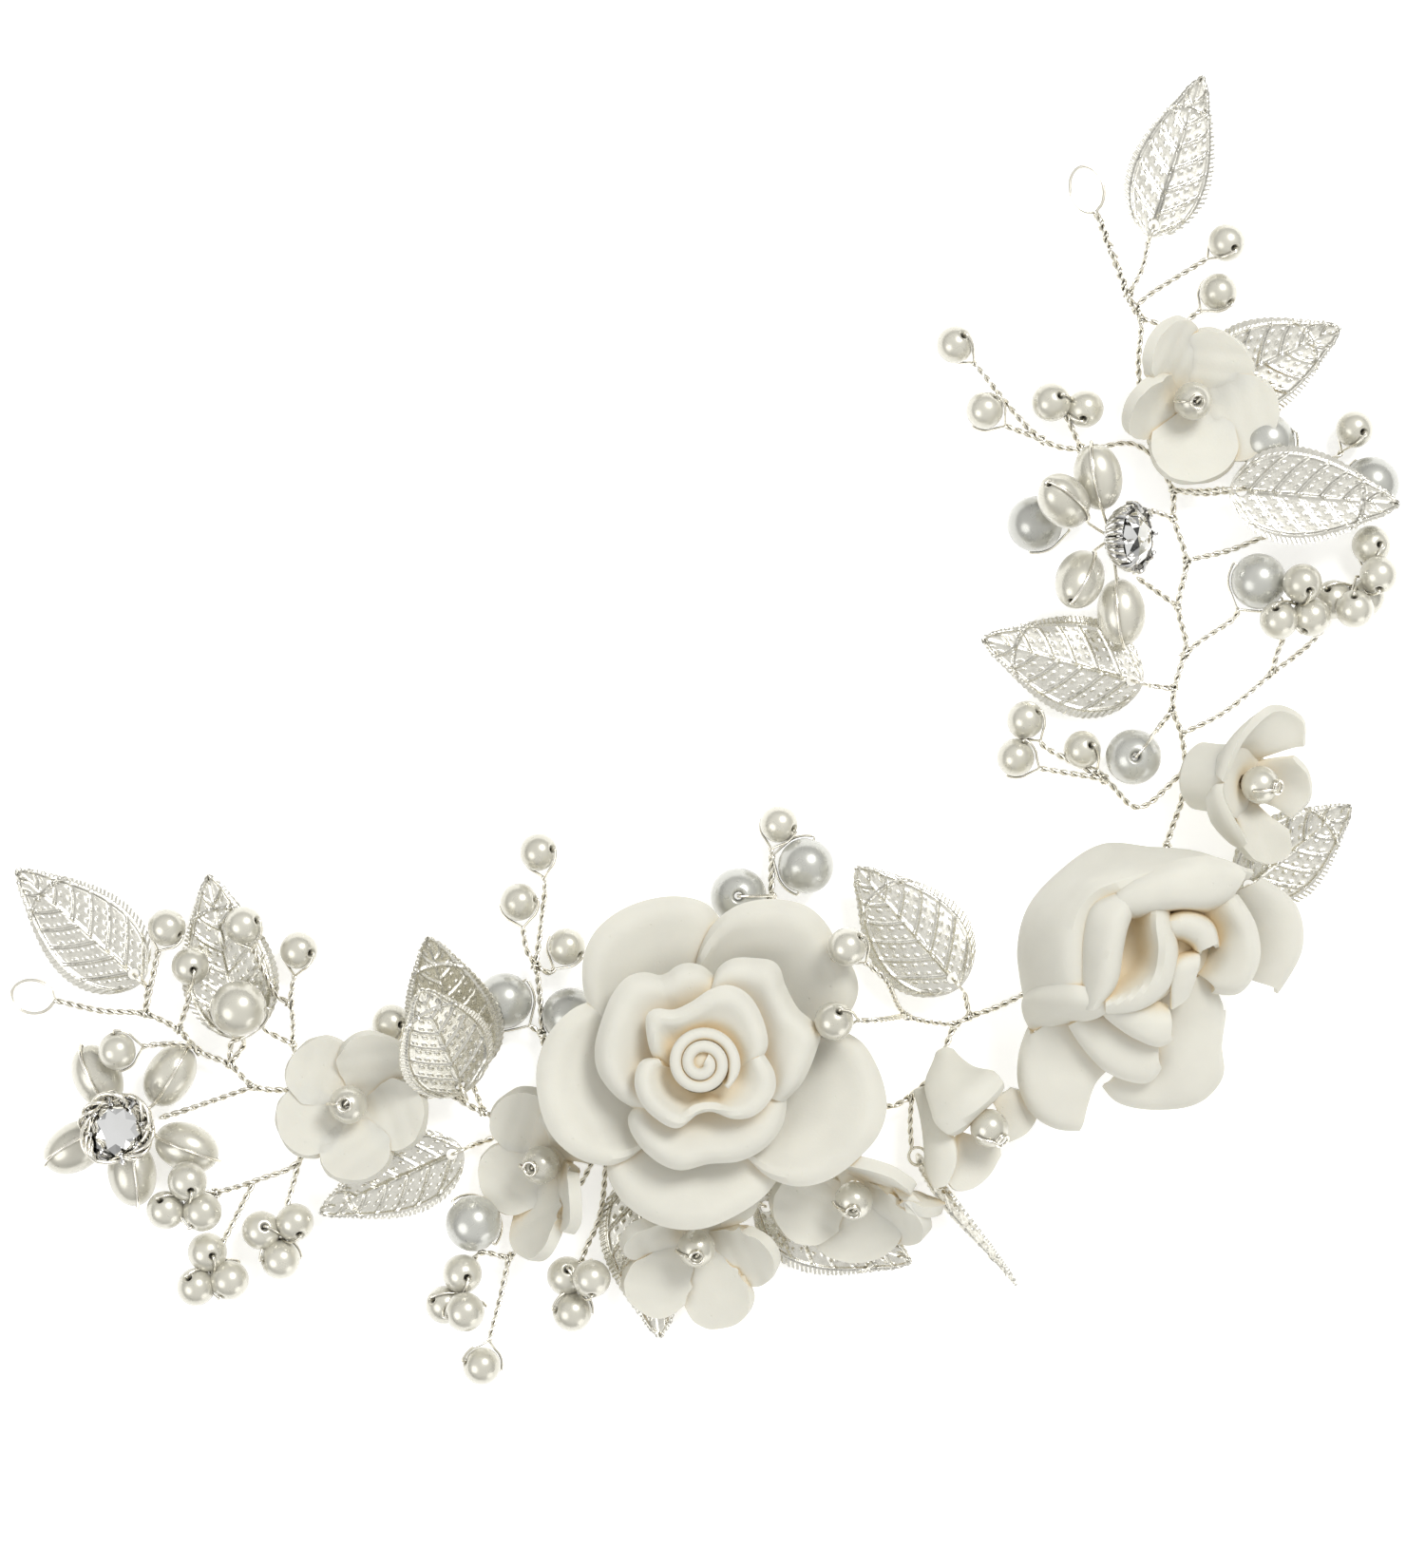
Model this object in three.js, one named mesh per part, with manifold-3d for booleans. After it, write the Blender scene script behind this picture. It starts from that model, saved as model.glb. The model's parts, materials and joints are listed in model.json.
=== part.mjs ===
// A bridal hair vine lying on its back: a twisted wire stem with a pin loop at each end, carrying two
// clay roses, seven five-petal clay flowers, stamped leaves, rhinestone flowers and sprigs of pearls.
// Millimetres, +Z up, away from the hair; the origin is under the middle of the vine, on the table.
import * as THREE from "three";
import { mergeVertices } from "three/addons/utils/BufferGeometryUtils.js";
import Module from "manifold-3d";

const wasm = await Module();
wasm.setup();

// ---- driving dimensions ----
const STEM_Z = 3.2; // height of the stem's centre line over the table
const PAIR_RADIUS = 0.3; // a twisted pair of 0.3 mm wires
const STRAND_RADIUS = 0.2; // the single strand through a bead
const PEARL_RADIUS = 2.5;
const BUNCHED_RADIUS = 2.65; // pearls pulled into each other by their wire
const LARGE_RADIUS = 3.7;
const OVAL = [4.3, 3.2]; // an oval pearl's half length and half width
const BORE_RADIUS = 0.6;
const SEAT_GAP = 0.75; // between a flower and the pearl over it
const PETAL_THICKNESS = 1.3;
const FLOWER_HOLE = 0.9;
const FLOWER_RADIUS = 10.5;
const LEAF = { length: 22, width: 12, thickness: 0.4, holeRadius: 0.75, holeInset: 1.6 };
const LEAF_RING_RADIUS = 1.2;
const CUP_RADIUS = 4.7;
const BASE_RADIUS = 7.5; // clay base of a rose, pressed round the stem
const TUNNEL_RADIUS = 1.1;
const LOOP_GAP = 0.5; // between a bead and the middle of the strand round it
const FOOT_GAP = 0.7; // between a large pearl and the end of its twisted pair
const KNOT_RADIUS = 0.8; // the knot over a flower's pearl
const CUP_PROFILE = [
  [0, 0], [3.2, 0], [CUP_RADIUS, 2.4], [CUP_RADIUS, 3.6], [4.2, 3.6], [4.2, 2.7], [0, 0.9],
];
const STONE_PROFILE = [[0, 1.6], [3.8, 3.1], [3.8, 3.4], [2.3, 4.9], [0, 4.9]];
const SHANK_PROFILE = [[1.6, -6.2], [3.4, -6.2], [4.3, -2.6], [3.6, 0], [1.6, 0], [1.6, -6.2]];
const BUD_1_PROFILE = [
  [0, 17.2], [2.4, 17.2], [3.8, 19.5], [4.6, 24], [3.6, 25], [0.9, 24.2], [0.6, 23], [0, 23],
];
const BUD_2_PROFILE = [
  [0, 8.8], [3, 8.8], [5, 13], [5.4, 18.4], [4, 19.2], [0.9, 18], [0.6, 16], [0, 16],
];

// ---- materials ----
const clay = new THREE.MeshStandardMaterial({ color: 0xe6e3d6, roughness: 0.75, metalness: 0 });
const pearl = new THREE.MeshStandardMaterial({ color: 0xe8e4d4, roughness: 0.25, metalness: 0.1 });
const silver = new THREE.MeshStandardMaterial({ color: 0xd6d6d4, roughness: 0.3, metalness: 1 });
const wireMetal = new THREE.MeshStandardMaterial({ color: 0xcfcab8, roughness: 0.35, metalness: 1 });
const crystal = new THREE.MeshStandardMaterial({ color: 0xf4f6f8, roughness: 0.05, metalness: 0 });

const vine = new THREE.Group();
const Y_AXIS = new THREE.Vector3(0, 1, 0);
const Z_AXIS = new THREE.Vector3(0, 0, 1);

// ---- helpers ----
function point(p) {
  return new THREE.Vector3(p[0], p[1], p[2] ?? STEM_Z);
}

function solid(geometry) {
  const bare = geometry.clone();
  bare.deleteAttribute("normal");
  bare.deleteAttribute("uv");
  const merged = mergeVertices(bare, 1e-4);
  const mesh = new wasm.Mesh({
    numProp: 3,
    vertProperties: merged.attributes.position.array,
    triVerts: new Uint32Array(merged.index.array),
  });
  return new wasm.Manifold(mesh);
}

function join(geometries) {
  return wasm.Manifold.union(geometries.map(solid));
}

function geometryOf(body) {
  const mesh = body.getMesh();
  return new THREE.BufferGeometry()
    .setAttribute("position", new THREE.BufferAttribute(mesh.vertProperties, 3))
    .setIndex(new THREE.BufferAttribute(mesh.triVerts, 1));
}

function add(name, geometry, material) {
  const mesh = new THREE.Mesh(geometry, material);
  mesh.name = name;
  vine.add(mesh);
  return mesh;
}

// Turns a geometry made around +Z to face along n, turned by spin about n first, and moves it to centre.
function faceAlong(geometry, n, centre, spin = 0) {
  const facing = new THREE.Quaternion().setFromUnitVectors(Z_AXIS, n.clone().normalize());
  return geometry.rotateZ(spin).applyQuaternion(facing).translate(centre.x, centre.y, centre.z);
}

// ---- wire ----
// A smooth route that is stepped from one of its own points to the next, so wires meet at those points.
class Route extends THREE.CatmullRomCurve3 {
  getPointAt(share, target) {
    return this.getPoint(share, target);
  }

  getTangentAt(share, target) {
    return this.getTangent(share, target);
  }
}

function tube(points, radius = PAIR_RADIUS, sides = 4) {
  const extrudePath = new Route(points, false, "centripetal");
  const corners = Array.from({ length: sides }, (_, i) => {
    const a = (2 * Math.PI * i) / sides;
    return new THREE.Vector2(radius * Math.cos(a), radius * Math.sin(a));
  });
  const steps = points.length - 1;
  return new THREE.ExtrudeGeometry(new THREE.Shape(corners), { steps, extrudePath, bevelEnabled: false });
}

function wire(...route) {
  return tube(route.map(point));
}

// A strand that leaves its sprig, runs round a pearl, through its bore along u and back round.
function beadLoop(centre, radius, u, toSprig) {
  const out = radius + LOOP_GAP;
  const slant = 0.72 * out;
  const at = (along, back) => centre.clone().addScaledVector(u, along).addScaledVector(toSprig, back);
  const half = [at(0, out + 0.2), at(slant, slant), at(out + 0.2, 0.2), at(radius * 0.6, 0)];
  const other = [at(-radius * 0.6, 0), at(-out - 0.2, 0.2), at(-slant, slant), at(0.1, out + 0.2)];
  return tube([...half, ...other], STRAND_RADIUS);
}

function ball(centre, radius, around = 8, rings = 5) {
  return new THREE.SphereGeometry(radius, around, rings).translate(centre.x, centre.y, centre.z);
}

// ---- pearls ----
function pearlWithBore(radius, around = 9, rings = 5) {
  const start = Math.asin(BORE_RADIUS / radius);
  const profile = Array.from({ length: rings + 1 }, (_, i) => {
    const a = start + ((Math.PI - 2 * start) * i) / rings;
    return new THREE.Vector2(radius * Math.sin(a), -radius * Math.cos(a));
  });
  profile.push(profile[0].clone());
  return new THREE.LatheGeometry(profile, around).rotateX(Math.PI / 2);
}

function ovalPearl(centre, dir, halfLength, halfWidth) {
  const bead = new THREE.SphereGeometry(1, 8, 6).scale(halfWidth, halfLength, halfWidth);
  const along = new THREE.Quaternion().setFromUnitVectors(Y_AXIS, dir.clone().normalize());
  return bead.applyQuaternion(along).translate(centre.x, centre.y, centre.z);
}

// ---- clay ----
// A ring of joined petals: a plate round the axis whose rim is drawn in between petals. profile is a
// list of [radius as a share of the rim, height] along the middle of the plate, from its hole outwards.
function whorl({ petals, radius, cleft, profile, thickness = PETAL_THICKNESS, perPetal = 6, rows = 3 }) {
  const line = new THREE.SplineCurve(profile.map(([r, z]) => new THREE.Vector2(r, z)));
  const around = petals * perPetal;
  const loop = [];
  for (let i = 0; i <= rows; i += 1) loop.push([i / rows, 0.5]);
  for (let i = rows; i >= 0; i -= 1) loop.push([i / rows, -0.5]);
  const positions = [];
  for (let j = 0; j < around; j += 1) {
    const angle = (2 * Math.PI * j) / around;
    const lobe = Math.sqrt(Math.abs(Math.cos((petals * angle) / 2)));
    const inner = profile[0][0] * radius;
    for (const [share, side] of loop) {
      const at = line.getPoint(share);
      const slope = line.getTangent(share);
      const rim = radius * (1 - cleft * (1 - lobe) * share);
      const normal = new THREE.Vector2(-slope.y, slope.x * radius).normalize();
      const r = Math.max(inner, at.x * rim) + normal.x * side * thickness * (share > 0 ? 1 : 0);
      const z = at.y + normal.y * side * thickness;
      positions.push(r * Math.cos(angle), r * Math.sin(angle), z);
    }
  }
  const index = [];
  const n = loop.length;
  for (let j = 0; j < around; j += 1) {
    for (let i = 0; i < n; i += 1) {
      const a = j * n + i;
      const b = j * n + ((i + 1) % n);
      const c = ((j + 1) % around) * n + ((i + 1) % n);
      const d = ((j + 1) % around) * n + i;
      index.push(a, b, c, a, c, d);
    }
  }
  return new THREE.BufferGeometry()
    .setAttribute("position", new THREE.Float32BufferAttribute(positions, 3))
    .setIndex(index);
}

function lathe(profile, around = 24) {
  const outline = profile.map(([r, z]) => new THREE.Vector2(r, z));
  return new THREE.LatheGeometry(outline, around).rotateX(Math.PI / 2);
}

// ---- leaves ----
function leafPlate(length, width) {
  const outline = new THREE.Shape();
  const inset = LEAF.holeInset;
  outline.moveTo(-inset, 0);
  outline.bezierCurveTo(-inset, -width * 0.35, length * 0.12, -width * 0.62, length * 0.45, -width / 2);
  outline.bezierCurveTo(length * 0.7, -width * 0.4, length * 0.8, -width * 0.18, length - inset, 0);
  outline.bezierCurveTo(length * 0.8, width * 0.18, length * 0.7, width * 0.4, length * 0.45, width * 0.5);
  outline.bezierCurveTo(length * 0.12, width * 0.62, -inset, width * 0.35, -inset, 0);
  const hole = new THREE.Path().absarc(0, 0, LEAF.holeRadius, 0, 2 * Math.PI, true);
  outline.holes.push(hole);
  const plate = new THREE.ExtrudeGeometry(outline, {
    depth: LEAF.thickness,
    curveSegments: 4,
    bevelEnabled: false,
  });
  return plate.translate(0, 0, -LEAF.thickness / 2);
}

function leafTurn({ heading, pitch = 0, roll = 0 }) {
  const turn = new THREE.Matrix4().makeRotationZ(THREE.MathUtils.degToRad(heading));
  turn.multiply(new THREE.Matrix4().makeRotationY(-THREE.MathUtils.degToRad(pitch)));
  return turn.multiply(new THREE.Matrix4().makeRotationX(THREE.MathUtils.degToRad(roll)));
}

// The ring of wire through a leaf's hole and round its base, in the plane of the leaf's length and face.
function leafRing({ at, ...turn }) {
  const ring = new THREE.TorusGeometry(LEAF_RING_RADIUS, 0.25, 4, 7).rotateX(Math.PI / 2);
  ring.translate(-LEAF_RING_RADIUS, 0, 0).applyMatrix4(leafTurn(turn));
  return ring.translate(at[0], at[1], at[2]);
}

// The ring of a leaf, and the twisted pair from it to the rest of the wire.
function leafSprig(number, ...route) {
  const leaf = LEAVES[number - 1];
  const foot = new THREE.Vector3(-2 * LEAF_RING_RADIUS, 0, 0).applyMatrix4(leafTurn(leaf));
  foot.add(point(leaf.at));
  return [leafRing(leaf), wire([foot.x, foot.y, foot.z], ...route)];
}

const LEAVES = [
  { at: [-76, -32.1, 3.6], heading: 138, pitch: 3 },
  { at: [-62, -39.2, 2.1], heading: 102 },
  { at: [-32, -44, 3.4], heading: 104, pitch: 28, roll: -10 },
  { at: [-32.6, -46.6, 7.2], heading: 109, pitch: 42, roll: 12, length: 21 },
  { at: [-34, -56, 2.6], heading: 204, length: 20.5, width: 10 },
  { at: [32.1, -32.6, 5], heading: 131, length: 20.8, width: 13 },
  { at: [28.3, -57, 4.7], heading: 309, length: 21.5, roll: 77, width: 8 },
  { at: [7.6, -63, 1.5], heading: 339 },
  { at: [-8.9, -60, 2], heading: 277 },
  { at: [71.5, -20.4, 2.2], heading: 38, length: 18.5, width: 11 },
  { at: [56, 6.7, 2], heading: 164.5, width: 12.5 },
  { at: [69.9, 31.5, 7.6], heading: 354.6, pitch: 4 },
  { at: [66.8, 45.3, 2.4], heading: 26, length: 20 },
  { at: [58.8, 66.8, 3.6], heading: 72, width: 10.5 },
].map((leaf, i) => ({ length: LEAF.length, width: LEAF.width, name: `leaf_${i + 1}`, ...leaf }));

for (const leaf of LEAVES) {
  const plate = leafPlate(leaf.length, leaf.width).applyMatrix4(leafTurn(leaf));
  add(leaf.name, plate.translate(leaf.at[0], leaf.at[1], leaf.at[2]), silver);
}

// ---- five-petal flowers, each with a pearl on its post ----
const FLOWERS = [
  { at: [-46.8, -49.3, 5.2], n: [-0.1, 0.1, 1], spin: 22, cup: 2, radius: 10.3 },
  { at: [-20.2, -56.4, 5.6], n: [-0.46, -0.1, 0.88], spin: 40, radius: 10.8, cup: 2 },
  { at: [-1.6, -66.4, 5], n: [0, -0.34, 0.94], spin: -18, radius: 11, cup: 2 },
  { at: [19.2, -59.6, 5.6], n: [-0.06, -0.47, 0.88], spin: 18, radius: 11.5, cup: 2.2 },
  { at: [34.4, -49.6, 10.3], n: [0.55, -0.55, 0.63], spin: 30, radius: 9.5 },
  { at: [69, -6.6, 8.8], n: [0.75, -0.12, 0.65], spin: 36 },
  { at: [62.9, 43.6, 5.6], n: [0.12, -0.12, 1], spin: 12, cup: 2.4 },
].map((flower, i) => ({ radius: FLOWER_RADIUS, cup: 3.2, name: `flower_${i + 1}`, ...flower }));

const PEARL_LIFT = PETAL_THICKNESS / 2 + SEAT_GAP + PEARL_RADIUS;
const POST_TOP = PEARL_LIFT + PEARL_RADIUS + KNOT_RADIUS + 0.1;

function flowerPlate(radius, cup) {
  const profile = [[FLOWER_HOLE / radius, 0], [0.35, 0.1 * cup], [0.7, 0.4 * cup], [1, cup]];
  return whorl({ petals: 5, radius, cleft: 0.36, profile, perPetal: 4, rows: 2 });
}

// The wire that climbs from a point on the stem through the flower and its pearl, with a knot on top.
function flowerPost(flower, ...route) {
  const n = point(flower.n).normalize();
  const centre = point(flower.at);
  const up = (d) => centre.clone().addScaledVector(n, d);
  return [
    tube([...route.map(point), up(-2), up(-1), up(2), up(POST_TOP)]),
    ball(up(POST_TOP), KNOT_RADIUS, 6, 4),
  ];
}

for (const flower of FLOWERS) {
  const n = point(flower.n).normalize();
  const centre = point(flower.at);
  const spin = THREE.MathUtils.degToRad(flower.spin);
  let plate = flowerPlate(flower.radius, flower.cup);
  if (flower.name === "flower_6") {
    plate = geometryOf(join([plate, lathe(SHANK_PROFILE, 12)]));
  }
  add(flower.name, faceAlong(plate, n, centre, spin), clay);
  const seat = centre.clone().addScaledVector(n, PEARL_LIFT);
  add(`${flower.name}_pearl`, faceAlong(pearlWithBore(PEARL_RADIUS), n, seat), pearl);
}

// ---- roses ----
function tunnel(route) {
  return solid(tube(route.map(point), TUNNEL_RADIUS, 8));
}

const ROSE_1 = new THREE.Vector3(-1, -43.6, 0);
const STEM_UNDER_ROSE_1 = [[-24.1, -51.6], [-13.3, -50.8], [-1.4, -49.5], [11.8, -49.5]];
{
  const outer = whorl({
    petals: 5,
    radius: 23,
    cleft: 0.2,
    profile: [[0.1, 10.6], [0.35, 11.2], [0.6, 12.8], [0.85, 16], [1, 16.4]],
  }).rotateZ(THREE.MathUtils.degToRad(52));
  const base = lathe([[0, 0], [BASE_RADIUS, 0], [BASE_RADIUS + 0.6, 5], [6, 11.2], [0, 11.2]], 16);
  const under = join([outer, base].map((g) => g.translate(ROSE_1.x, ROSE_1.y, 0)));
  add("rose_1_outer_petals", geometryOf(under.subtract(tunnel(STEM_UNDER_ROSE_1))), clay);
  const middle = whorl({
    petals: 3,
    radius: 14,
    cleft: 0.16,
    profile: [[0.14, 13.2], [0.4, 13.6], [0.7, 16.2], [0.95, 20.2], [1, 20.6]],
  }).rotateZ(THREE.MathUtils.degToRad(30));
  add("rose_1_middle_petals", middle.translate(ROSE_1.x, ROSE_1.y, 0), clay);
  const inner = whorl({
    petals: 3,
    radius: 8.6,
    cleft: 0.14,
    profile: [[0.2, 15.3], [0.5, 15.9], [0.8, 19], [1, 23]],
    rows: 2,
  }).rotateZ(THREE.MathUtils.degToRad(-20));
  add("rose_1_inner_petals", inner.translate(ROSE_1.x, ROSE_1.y, 0), clay);
  add("rose_1_bud", lathe(BUD_1_PROFILE, 14).translate(ROSE_1.x, ROSE_1.y, 0), clay);
}

const ROSE_2 = { at: new THREE.Vector3(51, -27.4, 3.4), n: new THREE.Vector3(0.42, -0.42, 0.8) };
const STEM_UNDER_ROSE_2 = [[38.3, -36.4], [45.5, -32.6], [53, -27], [58, -21.4], [60.5, -15]];
{
  const place = (g, spin) => faceAlong(g, ROSE_2.n, ROSE_2.at, THREE.MathUtils.degToRad(spin));
  const outer = place(
    whorl({
      petals: 5,
      radius: 20.5,
      cleft: 0.2,
      profile: [[0.12, 1], [0.4, 2.5], [0.72, 7.6], [0.92, 13], [1, 15.4]],
    }),
    10,
  );
  const base = lathe([[0, 0], [6, 0], [7, 3], [5, 5.4], [0, 5.4]], 14).translate(51.6, -27.8, 0);
  const cutter = solid(new THREE.BoxGeometry(80, 80, 20).translate(55, -30, -10));
  const under = join([outer, base]).subtract(cutter).subtract(tunnel(STEM_UNDER_ROSE_2));
  add("rose_2_outer_petals", geometryOf(under), clay);
  const inner = whorl({
    petals: 3,
    radius: 11.5,
    cleft: 0.16,
    profile: [[0.2, 6.4], [0.5, 7.4], [0.8, 13.5], [1, 18]],
  });
  add("rose_2_inner_petals", place(inner, 40), clay);
  add("rose_2_bud", place(lathe(BUD_2_PROFILE, 14), 0), clay);
}

// ---- rhinestone flowers ----
const RHINESTONES = [
  {
    at: [-77.3, -52, 6.7],
    n: [0, 0, 1],
    beads: [
      { at: [-80.8, -45.6, 3.4], aim: [-0.5, 1, 0] },
      { at: [-71.2, -45.5, 3.4], aim: [0.6, 1, 0] },
      { at: [-83.8, -55, 3.4], aim: [-1, -0.6, 0] },
      { at: [-76.2, -58.4, 3.4], aim: [0.15, -1, 0] },
      { at: [-69, -55, 3.4], aim: [1, -0.4, 0] },
    ],
  },
  {
    at: [54, 25.3, 6.2],
    n: [0.68, 0, 0.73],
    beads: [
      { at: [51, 33.2, 8.4], aim: [-0.2, 1, 0.2] },
      { at: [46.3, 29.9, 11], aim: [-0.5, 0.5, 0.7] },
      { at: [43.1, 27.4, 3.7], aim: [0, 0, 1], round: true },
      { at: [48.6, 19.8, 8.6], aim: [-0.3, -0.7, 0.6] },
      { at: [54.3, 15.6, 5.9], aim: [0.1, -1, 0] },
    ],
  },
];

RHINESTONES.forEach(({ at, n, beads }, i) => {
  const name = `rhinestone_${i + 1}`;
  const normal = point(n);
  add(`${name}_cup`, faceAlong(lathe(CUP_PROFILE, 14), normal, point(at)), silver);
  add(`${name}_stone`, faceAlong(lathe(STONE_PROFILE, 8), normal, point(at)), crystal);
  const ovals = beads.map((bead) => {
    const [halfLength, halfWidth] = bead.round ? [LARGE_RADIUS, LARGE_RADIUS] : OVAL;
    return ovalPearl(point(bead.at), point(bead.aim), halfLength, halfWidth);
  });
  const threads = beads.slice(1).map((b, k) => tube([point(beads[k].at), point(b.at)], STRAND_RADIUS));
  add(`${name}_pearls`, geometryOf(join([...ovals, ...threads])), pearl);
});

// ---- loose large pearls that turn on their strand ----
const LARGE_PEARLS = [
  { at: [-61.8, -36.4, 6.6], bore: [1, 0, 0], toSprig: [-0.2, -1, -0.5] },
  { at: [-27, -35.6, 3.8], bore: [0.7, 0.7, 0], toSprig: [0.7, -0.7, 0] },
  { at: [12.8, -17.8, 4.2], bore: [0.3, 1, 0], toSprig: [-0.6, -0.8, 0] },
  { at: [3.9, -21.6, 4.8], bore: [0, 0, 1], toSprig: [1, 0, 0] },
  { at: [-31, -64.9, 4.4], bore: [-0.7, 0.7, 0], toSprig: [0.6, 0.6, -0.6] },
  { at: [56, -3.3, 4.8], bore: [0, 0, 1], toSprig: [0.66, 0.75, 0] },
  { at: [72.6, 19.8, 4.2], bore: [0.8, -0.6, 0], toSprig: [-0.6, -0.8, 0] },
].map((p, i) => ({ ...p, name: `large_pearl_${i + 1}` }));

for (const bead of LARGE_PEARLS) {
  bead.u = point(bead.bore).normalize();
  const toSprig = point(bead.toSprig);
  bead.side = toSprig.addScaledVector(bead.u, -toSprig.dot(bead.u)).normalize();
  bead.centre = point(bead.at);
  bead.foot = bead.centre.clone().addScaledVector(bead.side, LARGE_RADIUS + FOOT_GAP);
  add(bead.name, faceAlong(pearlWithBore(LARGE_RADIUS), bead.u, bead.centre), pearl);
}

function largeSprig(index, ...route) {
  const bead = LARGE_PEARLS[index - 1];
  const foot = [bead.foot.x, bead.foot.y, bead.foot.z];
  return [beadLoop(bead.centre, LARGE_RADIUS, bead.u, bead.side), wire(foot, ...route)];
}

// ---- pearls wired in a bunch ----
const BUNCHES = {
  pearl_trio_1: [[-68.4, -59.1, 7.6], [-71.4, -63, 6.4], [-66.6, -63.2, 6.4]],
  pearl_trio_2: [[-66.3, -68.9, 3], [-67.8, -73.5, 3], [-63.4, -72.6, 3]],
  pearl_trio_3: [[-59.2, -66, 3], [-54.7, -64.9, 3.4], [-56.6, -69.9, 3]],
  pearl_trio_4: [[-32.5, -71.6, 4.6], [-34.9, -75.8, 3.4], [-32, -76.3, 7.2]],
  pearl_trio_5: [[-18.8, -72, 3.4], [-15.4, -72, 6.6], [-18, -76.7, 4]],
  pearl_trio_6: [[77.8, 19.3, 8.4], [74.8, 14.5, 7.6], [79.2, 15, 6.6]],
  pearl_bunch: [
    [87.6, 24.6, 3.2], [88.2, 20.5, 5.6], [86.9, 17.6, 2.6], [84.9, 16, 6.6], [82.6, 17.4, 3],
  ],
  pearl_pair: [[45.2, 43.4, 4.4], [49.7, 42.6, 3.4]],
};

for (const [name, centres] of Object.entries(BUNCHES)) {
  const balls = centres.map((c) => ball(point(c), BUNCHED_RADIUS));
  add(name, geometryOf(join(balls)), pearl);
}

// ---- the wire, in four lengths, each with its sprigs and their single pearls ----
function singles(centres, radius = PEARL_RADIUS) {
  return centres.map((centre) => ball(point(centre), radius));
}

function pinLoop(x, y, wide, high, heading) {
  const ring = new THREE.TorusGeometry(1, PAIR_RADIUS / wide, 5, 12).scale(wide, high, wide);
  return ring.rotateZ(THREE.MathUtils.degToRad(heading)).translate(x, y, STEM_Z);
}

const wireLeft = [
  pinLoop(-89.4, -35.1, 2.8, 2.2, -10),
  wire(
    [-86.5, -35.6], [-80.1, -37], [-74.5, -37.4], [-70.1, -39.5], [-67.4, -42.3], [-63.3, -44.1],
    [-60.1, -47], [-54.5, -47.6, 2.4], [-46.4, -48.6, 2], [-38.3, -48.3, 2.4], [-34.4, -48],
  ),
  ...leafSprig(1, [-74.5, -37.4]),
  ...leafSprig(2, [-63.3, -44.1]),
  wire([-71.8, -26, 5.2], [-72.6, -28.9, 4.6], [-74.5, -37.4]),
  wire([-68.3, -31, 5.2], [-68.6, -35.1, 4.4], [-70.1, -39.5]),
  wire([-77.6, -42, 7.8], [-72.6, -41.2, 7.4], [-68.6, -41.4, 5.2], [-67.4, -42.3]),
  ...largeSprig(1, [-63, -41, 3.8], [-63.3, -44.1]),
  wire(
    [-61.3, -25.6, 5.2], [-60.5, -27.6, 5], [-57, -35.1], [-55.4, -36.1], [-54.9, -41.4],
    [-54.5, -47.6, 2.4],
  ),
  wire([-54.4, -29], [-55.4, -36.1]),
  wire([-58.5, -39.5], [-54.9, -41.4]),
  wire([-72, -50.8, 7.6], [-69.5, -50.1, 6.6], [-60.1, -47]),
  wire([-54.5, -47.6, 2.4], [-54.1, -56.6, 2.6], [-60.1, -59.5, 3], [-64.6, -60.3, 5]),
  wire([-60.1, -59.5, 3], [-63.4, -66.4]),
  wire([-54.1, -56.6, 2.6], [-55.8, -62.4]),
  wire([-42, -38.6], [-42.4, -43], [-38.3, -48.3, 2.4]),
  ...flowerPost(FLOWERS[0], [-46.4, -48.6, 2]),
  ...singles([
    [-71.8, -26, 5.2], [-68.3, -31, 5.2], [-77.6, -42, 7.8], [-61.3, -25.6, 5.2], [-54.4, -29],
    [-42, -38.6],
  ]),
];
add("stem_wire_left", geometryOf(join(wireLeft)), wireMetal);

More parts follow.
